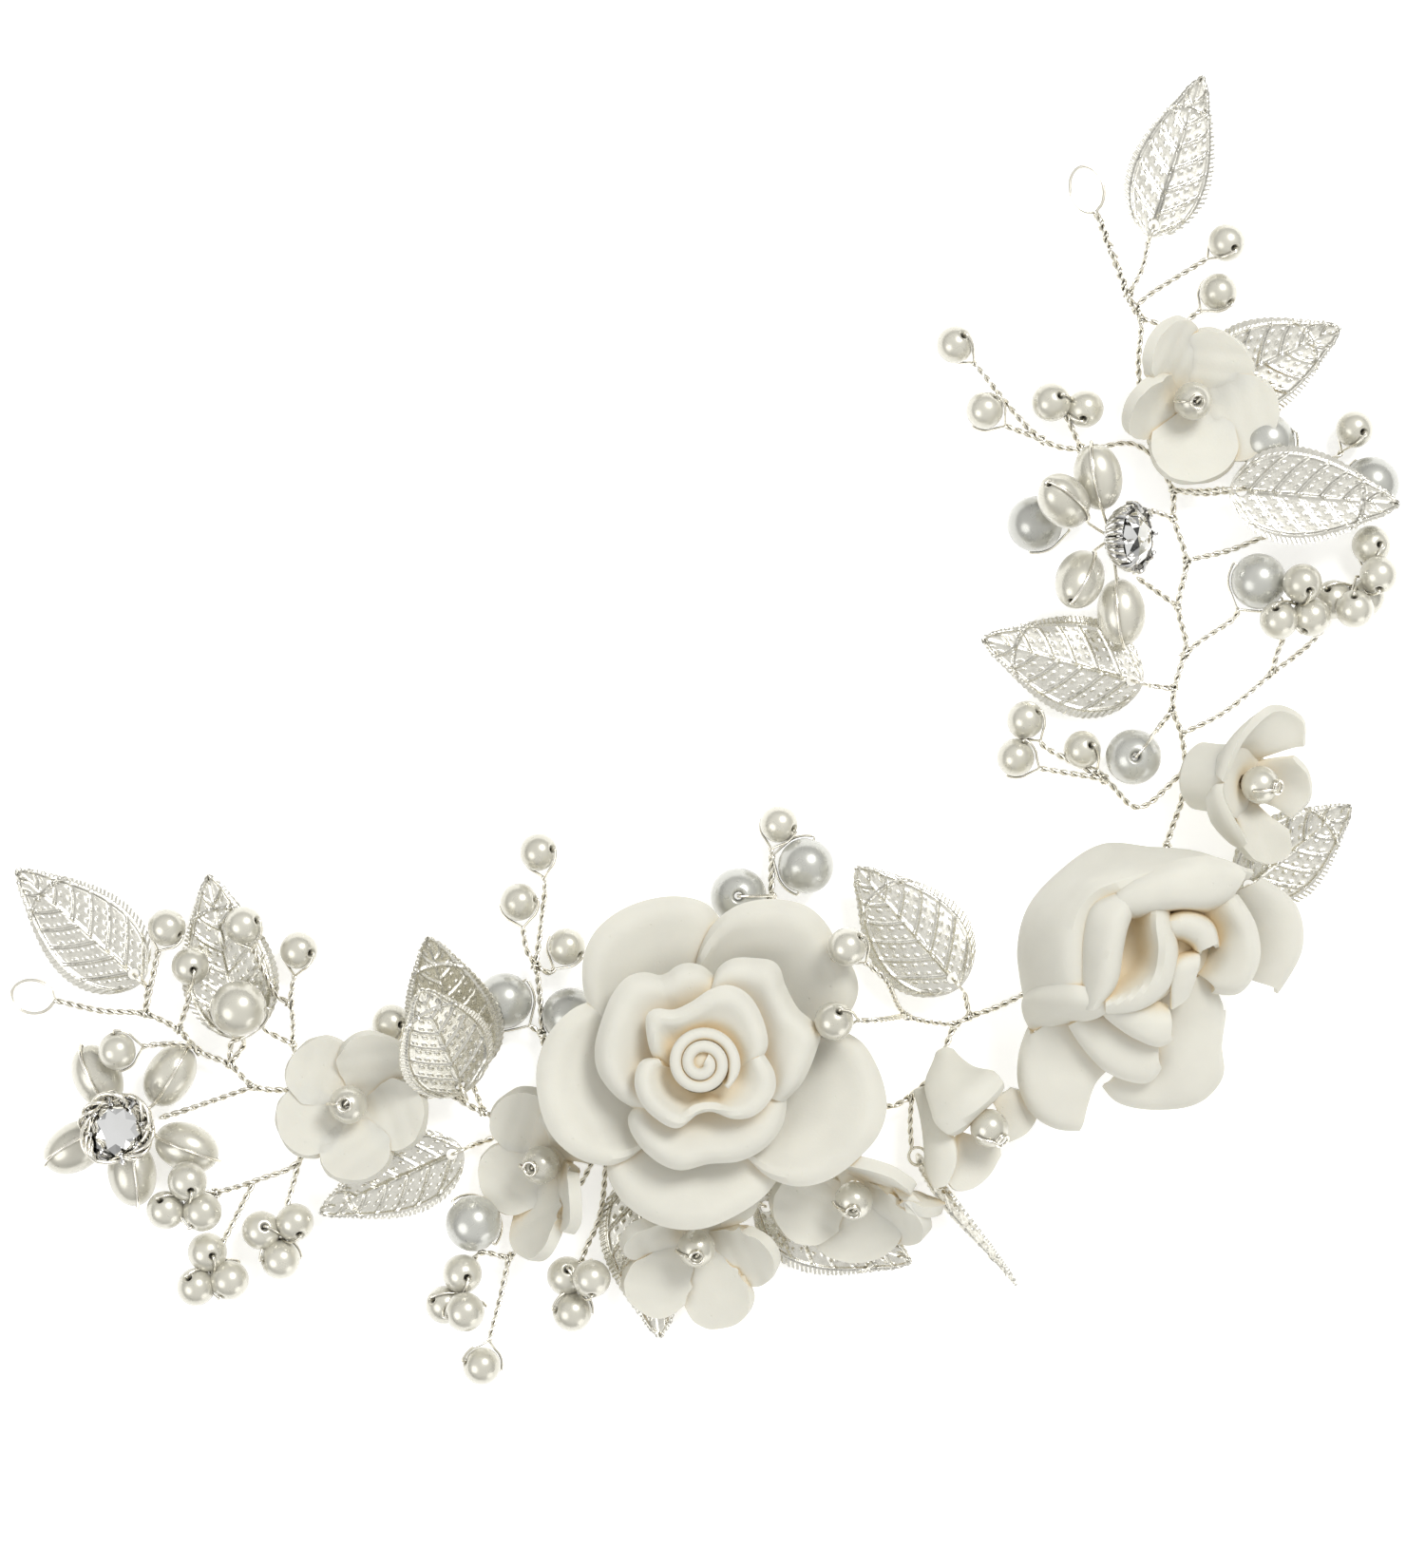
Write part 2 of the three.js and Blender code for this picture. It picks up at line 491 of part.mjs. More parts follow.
const wireCentre = [
  wire([-33.6, -48], [-29.8, -50.4], ...STEM_UNDER_ROSE_1, [24.2, -49.7]),
  ...leafSprig(3, [-29.8, -50.4]),
  ...leafSprig(4, [-33.2, -48.2]),
  ...leafSprig(5, [-30.4, -54.6, 1.3], [-26.8, -53.2, 1.2], [-24.1, -51.6]),
  ...leafSprig(8, [6, -56, 2.2], [11.8, -49.5]),
  ...leafSprig(9, [-11, -54, 2.4], [-13.3, -50.8]),
  wire([-25.1, -22.6], [-24.1, -28.9], [-22.9, -31.1], [-22, -40.1], [-21.6, -45.8], [-24.1, -51.6]),
  wire([-22.5, -16], [-21.6, -20.1], [-22.9, -31.1]),
  wire([-18.8, -28.5], [-20.8, -32], [-22.9, -31.1]),
  wire([-18.3, -37.6, 3.8], [-22, -40.1]),
  ...largeSprig(2, [-22, -40.1]),
  wire([9.3, -12.3], [8.4, -15.1], [8.3, -22], [9.6, -34], [11.8, -49.5]),
  ...largeSprig(3, [8.3, -22]),
  ...largeSprig(4, [8.3, -22]),
  ...largeSprig(5, [-26.4, -57.4, 1], [-24.1, -51.6]),
  wire([-30.2, -69, 3.6], [-26.4, -69.4], [-22.9, -66, 2.4], [-17, -60, 1.6], [-13.3, -50.8]),
  wire([-30, -83.9], [-29.1, -80.8], [-27.6, -75.1], [-26.4, -69.4]),
  wire([-16.4, -68.8, 3], [-14.4, -64, 2.2], [-13.3, -50.8]),
  ...flowerPost(FLOWERS[1], [-13.3, -50.8], [-17, -54, 3]),
  ...flowerPost(FLOWERS[2], [11.8, -49.5], [4.5, -56, 2.6], [-1, -63, 2.6]),
  ...flowerPost(FLOWERS[3], [11.8, -49.5], [17.4, -54.4, 3.6]),
  ...singles([[-25.1, -22.6], [-22.5, -16], [-18.8, -28.5], [9.3, -12.3], [-30, -83.9]]),
  ...singles([[-18.3, -37.6, 3.8]], LARGE_RADIUS),
];
add("stem_wire_centre", geometryOf(join(wireCentre)), wireMetal);

const wireRight = [
  wire(
    [25, -49.4], [26.9, -48.1], [29.9, -45.1], [31.3, -41.9], [32.6, -38.9], [34.5, -37.8],
    ...STEM_UNDER_ROSE_2, [61.6, -11.8], [62.4, -9.8],
  ),
  ...leafSprig(6, [34.5, -37.8]),
  ...leafSprig(7, [26.6, -52, 4.4], [26.9, -48.1]),
  ...leafSprig(10, [64, -18.4, 2.4], [60.5, -15]),
  wire([17.8, -27.9, 20], [22.6, -32, 17.6], [26, -37.4, 8], [32.6, -38.9]),
  wire([16.1, -37.4, 20.2], [21.6, -37.4, 18.2], [26, -37.4, 8]),
  ...flowerPost(FLOWERS[4], [29.9, -45.1], [31.4, -46.8, 5.4]),
  ...singles([[17.8, -27.9, 20], [16.1, -37.4, 20.2]]),
];
add("stem_wire_right", geometryOf(join(wireRight)), wireMetal);

const wireTop = [
  wire(
    [62.7, -9], [63, -5.1], [62.5, -0.4], [61.4, 2.8], [61.6, 5.6], [62.8, 9.9], [63.1, 11.6],
    [62.1, 16.4], [63.1, 22.5], [61.5, 28.1], [61.3, 31.8], [59, 36.3], [57.4, 42.4],
    [56.8, 48.6], [57.1, 54.5], [55.5, 57.5], [53.4, 63], [51.3, 68.5],
  ),
  pinLoop(50, 71.6, 2.2, 3.1, 14),
  ...leafSprig(11, [61.6, 5.6]),
  ...leafSprig(12, [65, 31.6, 5.2], [61.3, 31.8]),
  ...leafSprig(13, [62.6, 40, 2.4], [57.4, 42.4]),
  ...leafSprig(14, [57.4, 61.4], [55.5, 57.5]),
  wire([41.9, 1.5], [44.3, -2], [52.4, -6.4, 2.6], [56.8, -10.1, 2.6], [63, -5.1]),
  wire([40.6, -3.5], [43.6, -4.9], [52.4, -6.4, 2.6]),
  wire([49.4, -2.4], [52.4, -6.4, 2.6]),
  ...largeSprig(6, [61.4, 2.8]),
  wire([58.4, 29, 4.6], [61.5, 28.1]),
  wire([56.6, 20.3, 3.4], [62.1, 16.4]),
  wire([32.6, 51.1], [35.1, 48.6], [44.3, 38.4], [49.3, 37.2], [55.8, 38], [59, 36.3]),
  wire([36.5, 42.4], [39.5, 40.1], [44.3, 38.4]),
  wire([48.3, 39.4], [49.3, 37.2]),
  wire([68.5, 64.6], [66.1, 62.6], [58.6, 57.9], [56.3, 56]),
  wire([67.4, 58], [64.9, 55.5], [61.8, 53.6], [57.1, 54.5]),
  wire([85.4, 39.9], [83.3, 36.4], [76, 33.4, 2.6], [66, 31.4, 2.8], [61.3, 31.8]),
  wire([73.8, 38.2, 3.7], [76, 33.4, 2.6]),
  wire([87.6, 32.6, 3.8], [80, 28, 3], [73, 25.5], [68.9, 23.9], [63.1, 22.5]),
  ...largeSprig(7, [69.6, 15.1], [64.5, 11.5], [62.8, 9.9]),
  wire([75.4, 11.4, 5], [74.9, 10, 4.4], [74.5, 7.6]),
  wire([62.5, -0.4], [68, 2.4], [74.5, 7.6], [80.2, 12.2, 2.6], [81.2, 14, 2.6]),
  ...flowerPost(FLOWERS[5], [63, -5.1], [64.4, -5.6, 5]),
  ...flowerPost(FLOWERS[6], [57.4, 42.4], [61, 43.4, 2.6]),
  ...singles([
    [41.9, 1.5], [40.6, -3.5], [49.4, -2.4], [32.6, 51.1], [36.5, 42.4], [68.5, 64.6], [67.4, 58],
    [85.4, 39.9],
  ]),
  ...singles([[73.8, 38.2, 3.7], [87.6, 32.6, 3.7]], LARGE_RADIUS),
];
add("stem_wire_top", geometryOf(join(wireTop)), wireMetal);

// ---- the origin goes under the middle of the vine, on the table ----
const box = new THREE.Box3().setFromObject(vine);
const middle = box.getCenter(new THREE.Vector3());
vine.position.set(-middle.x, -middle.y, -box.min.z);

export default vine;
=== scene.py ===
"""The looks of a bridal hair vine: a twisted wire stem with pin loops, two clay roses, seven small clay
flowers, stamped leaves, rhinestone flowers and sprigs of pearls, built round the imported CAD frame.
Sizes are in millimetres, in the vine's own coordinates, and piece() turns them into the frame's metres."""
import json

import bpy
import numpy as np
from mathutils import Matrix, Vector


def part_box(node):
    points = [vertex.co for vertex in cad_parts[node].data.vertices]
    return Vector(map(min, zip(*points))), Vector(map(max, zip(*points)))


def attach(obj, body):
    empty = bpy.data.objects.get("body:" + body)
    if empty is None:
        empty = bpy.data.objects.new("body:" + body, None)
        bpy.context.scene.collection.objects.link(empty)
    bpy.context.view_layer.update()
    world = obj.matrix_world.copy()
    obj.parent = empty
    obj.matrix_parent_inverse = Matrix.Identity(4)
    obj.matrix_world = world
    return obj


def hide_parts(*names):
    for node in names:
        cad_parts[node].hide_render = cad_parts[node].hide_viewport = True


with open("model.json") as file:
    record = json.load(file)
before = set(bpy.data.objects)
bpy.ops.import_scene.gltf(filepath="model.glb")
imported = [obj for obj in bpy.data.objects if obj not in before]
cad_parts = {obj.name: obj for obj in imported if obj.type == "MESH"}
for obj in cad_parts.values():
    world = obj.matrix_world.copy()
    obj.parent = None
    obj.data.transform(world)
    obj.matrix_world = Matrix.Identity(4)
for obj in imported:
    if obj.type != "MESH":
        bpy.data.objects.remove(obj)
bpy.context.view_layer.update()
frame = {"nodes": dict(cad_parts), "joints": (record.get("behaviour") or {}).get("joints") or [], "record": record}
record = frame["record"]
joints = {joint["name"]: joint for joint in frame["joints"]}

MM = 0.001
VINE = "vine_frame"
ROSE_1 = np.array([-1.0, -43.6, 0.0])  # where the first rose stands, in the vine's own coordinates
back = next(m for m in record["mounts"] if m["name"] == "rose_1_back")
SHIFT = np.array(back["pos_m"]) / MM - ROSE_1  # from the vine's own coordinates to the frame's

STEM_Z = 3.2  # height of the stem's middle over the table
STRAND = 0.22  # radius of one wire
EYE = np.array([0.5, -7.0])  # the camera is straight over this point
EYE_HEIGHT = 573.0  # over the level at which one millimetre is eight pixels wide
LEVEL = 6.0
VIEW_HEIGHT = 206.25  # what the picture takes in at that level, from top to bottom
PEARL = 2.5  # radii of the small, bunched and large pearls
BUNCHED = 2.6
LARGE = 3.7
rng = np.random.default_rng(7)


# ---------------------------------------------------------------- geometry helpers
def vec(p, z=STEM_Z):
    """A point as an array; a missing height is z."""
    return np.array([p[0], p[1], p[2] if len(p) > 2 else z], float)


def vecs(points):
    return [vec(p) for p in points]


def unit(v):
    v = np.asarray(v, float)
    return v / np.linalg.norm(v)


def across(v, axis):
    """The part of v that is square to axis, as a unit vector."""
    axis = unit(axis)
    v = np.asarray(v, float)
    rest = v - axis * v.dot(axis)
    if np.linalg.norm(rest) < 1e-3:
        rest = np.cross(axis, [0.31, 0.95, 0.1])
    return unit(rest)


def facing(n):
    """The turn that takes +Z to n by the shortest way, as a matrix of columns."""
    return np.array(Vector((0, 0, 1)).rotation_difference(Vector(unit(n))).to_matrix())


def toward(a, u, v):
    """The direction at angle a from u, turning to v."""
    return np.cos(a) * u + np.sin(a) * v


def smooth(points, count):
    """count points along a centripetal Catmull-Rom curve through points, evenly spaced."""
    p = np.asarray(points, float)
    if len(p) == 2:
        return p[0] + (p[1] - p[0]) * np.linspace(0, 1, count)[:, None]
    p = np.vstack([2 * p[0] - p[1], p, 2 * p[-1] - p[-2]])
    t = np.concatenate([[0], np.cumsum(np.sqrt(np.linalg.norm(np.diff(p, axis=0), axis=1) + 1e-9))])

    def blend(a, b, i, j, s):
        """From a at knot i to b at knot j, the points at s."""
        return ((t[j] - s) * a + (s - t[i]) * b) / (t[j] - t[i])

    spans = []
    for i in range(1, len(p) - 2):
        s = np.linspace(t[i], t[i + 1], 24, endpoint=False)[:, None]
        a = [blend(p[k], p[k + 1], k, k + 1, s) for k in (i - 1, i, i + 1)]
        b = [blend(a[k], a[k + 1], i - 1 + k, i + 1 + k, s) for k in (0, 1)]
        spans.append(blend(b[0], b[1], i, i + 1, s))
    fine = np.vstack(spans + [p[-2][None]])
    length = np.concatenate([[0], np.cumsum(np.linalg.norm(np.diff(fine, axis=0), axis=1))])
    want = np.linspace(0, length[-1], count)
    return np.stack([np.interp(want, length, fine[:, k]) for k in range(3)], axis=1)


def seen(points):
    """Points given as they look from over EYE, moved in so that they look so at their own height."""
    p = np.array(points, float)
    p[:, :2] += (EYE - p[:, :2]) * (p[:, 2:] - LEVEL) / EYE_HEIGHT
    return p


def run_length(points):
    """The length of a line through points."""
    return np.linalg.norm(np.diff(np.asarray(points, float), axis=0), axis=1).sum()


class Shape:
    """Vertices and faces that grow as bodies are added."""

    def __init__(self):
        self.verts, self.faces, self.count = [], [], 0

    def add(self, verts, faces):
        self.verts.append(np.asarray(verts, float))
        self.faces += [[i + self.count for i in f] for f in faces]
        self.count += len(verts)
        return self

    def add_pair(self, route, **options):
        """Adds both strands of a twisted pair."""
        for body in twisted(route, **options):
            self.add(*body)
        return self


def walk(path):
    """At each point of a path, its direction and two more square to it, which turn as little as they can."""
    along = np.gradient(path, axis=0)
    along /= np.linalg.norm(along, axis=1)[:, None]
    normal = across([0.12, 0.21, 1.0], along[0])
    frames = []
    for d in along:
        normal = across(normal, d)
        frames.append((d, normal, np.cross(d, normal)))
    return frames


def tube(path, radius, sides=7):
    """A closed round tube along a path, with domed ends."""
    p = np.asarray(path, float)
    frames = walk(p)
    a = np.linspace(0, 2 * np.pi, sides, endpoint=False)[:, None]
    rings = [q + radius * toward(a, u, v) for q, (_, u, v) in zip(p, frames)]
    n = len(p)
    dome = radius * 0.6
    verts = np.vstack(rings + [p[0] - frames[0][0] * dome, p[-1] + frames[-1][0] * dome])
    faces = []
    for i in range(n - 1):
        for j in range(sides):
            k = (j + 1) % sides
            faces.append([i * sides + j, i * sides + k, (i + 1) * sides + k, (i + 1) * sides + j])
    for j in range(sides):
        k = (j + 1) % sides
        faces.append([n * sides, k, j])
        faces.append([n * sides + 1, (n - 1) * sides + j, (n - 1) * sides + k])
    return verts, faces


def twisted(route, pitch=2.7, radius=STRAND, start=0.0):
    """The two strands of a twisted pair along a route."""
    count = max(8, int(run_length(route) / 0.28))
    p = smooth(route, count)
    frames = walk(p)
    far = np.concatenate([[0], np.cumsum(np.linalg.norm(np.diff(p, axis=0), axis=1))])
    apart = radius * 0.95
    pair = []
    for half in (0, np.pi):
        angles = start + half + 2 * np.pi * far / pitch
        path = []
        for q, a, (_, u, v) in zip(p, angles, frames):
            path.append(q + apart * toward(a, u, v))
        pair.append(tube(path, radius, 6))
    return pair


def strand(points, radius=STRAND, step=0.3, sides=7):
    """One wire along a smooth curve through points."""
    count = max(6, int(run_length(points) / step))
    return tube(smooth(points, count), radius, sides)


def lathe(profile, around, flute=None, closed=False):
    """A body of revolution about +Z; flute(angle, share) scales it, and closed joins the profile's ends."""
    prof = np.asarray(profile, float)
    n = len(prof)
    verts = []
    for j in range(around):
        a = 2 * np.pi * j / around
        for i, (r, z) in enumerate(prof):
            k = flute(a, i / (n - 1)) if flute else 1.0
            verts.append([r * k * np.cos(a), r * k * np.sin(a), z])
    faces = []
    last = n if closed else n - 1
    for j in range(around):
        for i in range(last):
            k = (i + 1) % n
            m = (j + 1) % around
            faces.append([j * n + i, m * n + i, m * n + k, j * n + k])
    if not closed:  # the profile starts and ends on the axis
        verts += [[0, 0, prof[0][1]], [0, 0, prof[-1][1]]]
        for j in range(around):
            m = (j + 1) % around
            faces.append([around * n, m * n, j * n])
            faces.append([around * n + 1, j * n + n - 1, m * n + n - 1])
    return np.array(verts), faces


def placed(body, n, centre):
    """A body made round +Z, turned to face along n and moved to centre."""
    verts, faces = body
    return np.asarray(verts) @ facing(n).T + centre, faces


def bead(radius, along=None, bore=0.38, around=36, rings=20):
    """A bead with a countersunk bore along +Z; along is its half length when it is an oval."""
    along = along or radius
    start = np.arcsin(bore * 1.9 / radius)
    prof = []
    for i in range(rings + 1):
        a = start + (np.pi - 2 * start) * i / rings
        fat = 1.0 if along == radius else 0.965
        prof.append([radius * np.sin(a) ** fat, -along * np.cos(a)])
    lip = prof[0][1]
    mouth = [[bore, lip + 0.5], [bore * 1.15, lip + 0.26], [bore * 1.6, lip + 0.05]]
    prof = mouth + prof + [[r, -z] for r, z in mouth[::-1]]
    return lathe(prof, around, closed=True)


def sheet(grid, thickness):
    """A closed sheet from a grid of points, thickened along its normals."""
    g = np.asarray(grid, float)
    rows, cols = g.shape[:2]
    normal = np.cross(np.gradient(g, axis=1), np.gradient(g, axis=0))
    normal /= np.linalg.norm(normal, axis=2)[:, :, None] + 1e-12
    half = np.broadcast_to(np.asarray(thickness, float), (rows, cols))[:, :, None] / 2
    verts = np.vstack([(g + normal * half).reshape(-1, 3), (g - normal * half).reshape(-1, 3)])
    n = rows * cols
    faces = []
    for i in range(rows - 1):
        for j in range(cols - 1):
            a = i * cols + j
            quad = [a, a + 1, a + cols + 1, a + cols]
            faces.append(quad)
            faces.append([n + k for k in reversed(quad)])
    edge = list(range(cols))
    edge += [i * cols + cols - 1 for i in range(1, rows)]
    edge += [(rows - 1) * cols + j for j in range(cols - 2, -1, -1)]
    edge += [i * cols for i in range(rows - 2, 0, -1)]
    for k, a in enumerate(edge):
        b = edge[(k + 1) % len(edge)]
        faces.append([b, a, n + a, n + b])
    return verts, faces


# ---------------------------------------------------------------- pieces
def piece(name, shape, material, body=VINE, replaces="", bevel=0.0, crease=None):
    """Makes an object of a Shape, hangs it on its body's empty, gives it its material, and hides the part that it
    replaces.
    """
    verts = (np.vstack(shape.verts) + SHIFT) * MM
    mesh = bpy.data.meshes.new(name)
    mesh.from_pydata(verts.tolist(), [], shape.faces)
    mesh.update()
    mesh.shade_smooth()
    if crease:
        mesh.set_sharp_from_angle(angle=np.radians(crease))
    mesh.materials.append(material)
    obj = bpy.data.objects.new(name, mesh)
    bpy.context.scene.collection.objects.link(obj)
    if bevel:
        soft = obj.modifiers.new("rim", "BEVEL")
        soft.width = bevel * MM
        soft.segments = 3
        soft.limit_method = "ANGLE"
        soft.angle_limit = np.radians(38)
        soft.harden_normals = True
    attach(obj, body)
    if replaces:
        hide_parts(replaces)
    return obj


# ---------------------------------------------------------------- materials
def material(name, **values):
    """A Principled material and its shader node; values are the sockets, with spaces for underscores."""
    mat = bpy.data.materials.new(name)
    mat.use_nodes = True
    shader = mat.node_tree.nodes["Principled BSDF"]
    for key, value in values.items():
        shader.inputs[key.replace("_", " ").title().replace("Ior", "IOR")].default_value = value
    return mat, shader


def node(mat, kind, **values):
    """Adds a node and sets its properties and inputs."""
    made = mat.node_tree.nodes.new(kind)
    for key, value in values.items():
        if hasattr(made, key):
            setattr(made, key, value)
        else:
            made.inputs[key.replace("_", " ").title()].default_value = value
    return made


def socket(sockets, name):
    """The enabled socket of that name; a Mix node keeps a hidden one for each type of data."""
    return next(s for s in sockets if s.name == name and s.enabled)


def link(mat, a, out, b, into):
    """Joins output out of node a to input into of node b."""
    mat.node_tree.links.new(socket(a.outputs, out), socket(b.inputs, into))


def millimetres(mat):
    """Object coordinates, in millimetres."""
    where = node(mat, "ShaderNodeTexCoord")
    scale = node(mat, "ShaderNodeMapping")
    scale.inputs["Scale"].default_value = (1 / MM,) * 3
    link(mat, where, "Object", scale, "Vector")
    return scale


def ramp(mat, source, out, stops):
    """A colour ramp over a number: a stop is a place and a colour, and a grey may be one number."""
    made = node(mat, "ShaderNodeValToRGB")
    while len(made.color_ramp.elements) < len(stops):
        made.color_ramp.elements.new(0.5)
    for element, (at, colour) in zip(made.color_ramp.elements, stops):
        colour = colour if isinstance(colour, tuple) else (colour,) * 3
        element.position = at
        element.color = (*colour, 1)
    link(mat, source, out, made, "Fac")
    return made


def noise(mat, where, scale, detail=3.0, roughness=0.5):
    """Cloudy noise with scale waves to the millimetre."""
    made = node(mat, "ShaderNodeTexNoise", scale=scale, detail=detail, roughness=roughness)
    link(mat, where, "Vector", made, "Vector")
    return made


def bump(mat, source, out, strength, distance, under=None):
    """A bump of up to distance millimetres, on top of another one if under is given."""
    made = node(mat, "ShaderNodeBump", strength=strength, distance=distance * MM)
    link(mat, source, out, made, "Height")
    if under:
        link(mat, under, "Normal", made, "Normal")
    return made


def clay_material(name, light, shade, painted_recess_shade):
    """Air-dried clay: matte, faintly mottled, pitted, and with a creamy painted shade where petals close over it.
    """
    mat, shader = material(name, roughness=0.62, specular_ior_level=0.32, subsurface_weight=0.14,
                           subsurface_scale=0.0016, subsurface_radius=(1.0, 0.85, 0.6))
    where = millimetres(mat)
    cloud = noise(mat, where, 0.16, 4.0)
    tint = ramp(mat, cloud, "Fac", [(0.35, shade), (0.65, light)])
    # painted shade: ambient occlusion blends the warm cream colour into the hollows between petals
    fold = node(mat, "ShaderNodeAmbientOcclusion", samples=6, distance=5 * MM)
    painted_shade_mask = ramp(mat, fold, "AO", [(0.12, 0), (0.68, 1)])
    mix = node(mat, "ShaderNodeMix", data_type="RGBA")
    link(mat, painted_shade_mask, "Color", mix, "Factor")
    socket(mix.inputs, "A").default_value = (*painted_recess_shade, 1)
    link(mat, tint, "Color", mix, "B")
    link(mat, mix, "Result", shader, "Base Color")
    grain = noise(mat, where, 3.2, 5.0, 0.6)
    first = bump(mat, grain, "Fac", 0.16, 0.12)
    pits = node(mat, "ShaderNodeTexVoronoi", scale=0.55)
    link(mat, where, "Vector", pits, "Vector")
    hole = ramp(mat, pits, "Distance", [(0.03, 0), (0.075, 1)])
    second = bump(mat, hole, "Color", 0.5, 0.1, first)
    link(mat, second, "Normal", shader, "Normal")
    rough = ramp(mat, grain, "Fac", [(0.3, 0.55), (0.7, 0.7)])
    link(mat, rough, "Color", shader, "Roughness")
    return mat


def pearl_material(name, body, tint):
    """A coated bead: a satin nacre under a clear coat, a little darker where it turns away."""
    mat, shader = material(name, metallic=0.45, roughness=0.34, coat_weight=0.7, coat_roughness=0.14,
                           sheen_weight=0.15, sheen_roughness=0.4)
    where = millimetres(mat)
    cloud = noise(mat, where, 0.12, 2.0)
    colour = ramp(mat, cloud, "Fac", [(0.3, tint), (0.62, body)])
    link(mat, colour, "Color", shader, "Base Color")
    skin = noise(mat, where, 0.5, 2.0)
    rough = ramp(mat, skin, "Fac", [(0.3, 0.25), (0.7, 0.33)])
    link(mat, rough, "Color", shader, "Roughness")
    made = bump(mat, skin, "Fac", 0.03, 0.1)
    link(mat, made, "Normal", shader, "Normal")
    return mat


def metal_material(name, colour, dull, roughness, grain=2.5, strength=0.08, groove=0.0):
    """Plated metal with faint variation in its polish, with painted shade darkening its grooves up to groove
    millimetres wide.
    """
    mat, shader = material(name, metallic=1.0, roughness=roughness)
    where = millimetres(mat)
    cloud = noise(mat, where, grain * 0.3, 3.0)
    tint = ramp(mat, cloud, "Fac", [(0.3, dull), (0.6, colour)])
    if groove:
        # painted shade: ambient occlusion multiplies a dark brown into the grooves
        near = node(mat, "ShaderNodeAmbientOcclusion", samples=5, distance=groove * MM)
        painted_groove_shade = ramp(mat, near, "AO", [(0.25, (0.16, 0.15, 0.13)), (0.8, 1)])
        mix = node(mat, "ShaderNodeMix", data_type="RGBA", blend_type="MULTIPLY")
        socket(mix.inputs, "Factor").default_value = 1.0
        link(mat, tint, "Color", mix, "A")
        link(mat, painted_groove_shade, "Color", mix, "B")
        link(mat, mix, "Result", shader, "Base Color")
    else:
        link(mat, tint, "Color", shader, "Base Color")
    fine = noise(mat, where, grain, 5.0, 0.6)
    spread = ramp(mat, fine, "Fac", [(0.3, roughness * 0.75), (0.7, roughness * 1.3)])
    link(mat, spread, "Color", shader, "Roughness")
    made = bump(mat, fine, "Fac", strength, 0.06)
    link(mat, made, "Normal", shader, "Normal")
    return mat


# the third colour is the warm cream painted as shade in the clay's hollows
CLAY = clay_material("ivory_clay", (0.65, 0.637, 0.562), (0.618, 0.605, 0.535), (0.76, 0.635, 0.43))
IVORY_PEARL = pearl_material("ivory_pearl", (0.64, 0.62, 0.535), (0.58, 0.56, 0.475))
GREY_PEARL = pearl_material("grey_pearl", (0.53, 0.53, 0.485), (0.47, 0.47, 0.43))
# groove sets how far the painted shade in each metal's grooves reaches
LEAF_SILVER = metal_material("stamped_silver", (0.81, 0.79, 0.71), (0.70, 0.68, 0.605), 0.28, 4.0, groove=0.8)
WIRE_SILVER = metal_material("silver_wire", (0.90, 0.87, 0.78), (0.78, 0.74, 0.63), 0.22, 3.0, groove=0.5)
CUP_SILVER = metal_material("silver_cup", (0.86, 0.85, 0.83), (0.70, 0.69, 0.67), 0.12, 2.0, groove=0.9)
CRYSTAL = metal_material("clear_crystal", (0.96, 0.96, 0.95), (0.88, 0.88, 0.86), 0.03, 0.6, strength=0.0)


# ---------------------------------------------------------------- wire and single pearls
def bead_wire(centre, radius, bore, foot, along=None):
    """The strand that comes up from the foot, runs round both sides of a bead and through its bore."""
    along = along or radius
    u = unit(bore)
    s = across(foot, u)
    off = STRAND + 0.08
    up = along + off
    out = radius + off
    start = centre + unit(foot) * (radius + 0.95)
    path = [start]
    for sign, order in ((1, (25, 45, 65, 80)), (-1, (80, 65, 45, 25))):
        half = []
        for degrees in order:
            a = np.radians(degrees)
            half.append(centre + s * out * np.cos(a) + sign * u * up * np.sin(a))
        if sign == 1:
            path += half + [centre + u * (along + 0.3), centre + u * (along - 0.5)]
        else:
            path += [centre, centre - u * (along - 0.5), centre - u * (along + 0.3)] + half
    path.append(start + 0.12 * np.cross(u, s))
    return strand(path, STRAND * 0.8, 0.25)


def tilted_bore(foot, tilt):
    """A bore square to the foot's direction, raised towards the front by tilt degrees."""
    side = unit(np.cross([0, 0, 1], unit(foot)))
    up = across([0, 0, 1], foot)
    t = np.radians(tilt)
    return side * np.cos(t) + up * np.sin(t)


def joint_wrap(at, along):
    """A strand wound 1.6 turns round the stem where a sprig leaves it."""
    d = unit(along)
    u = across([0.1, 0.2, 1], d)
    v = np.cross(d, u)
    path = []
    for a, shift in zip(np.linspace(0, 2 * np.pi * 1.6, 22), np.linspace(-0.55, 0.55, 22)):
        path.append(at + 0.52 * toward(a, u, v) + d * shift)
    return tube(path, STRAND * 0.8, 6)


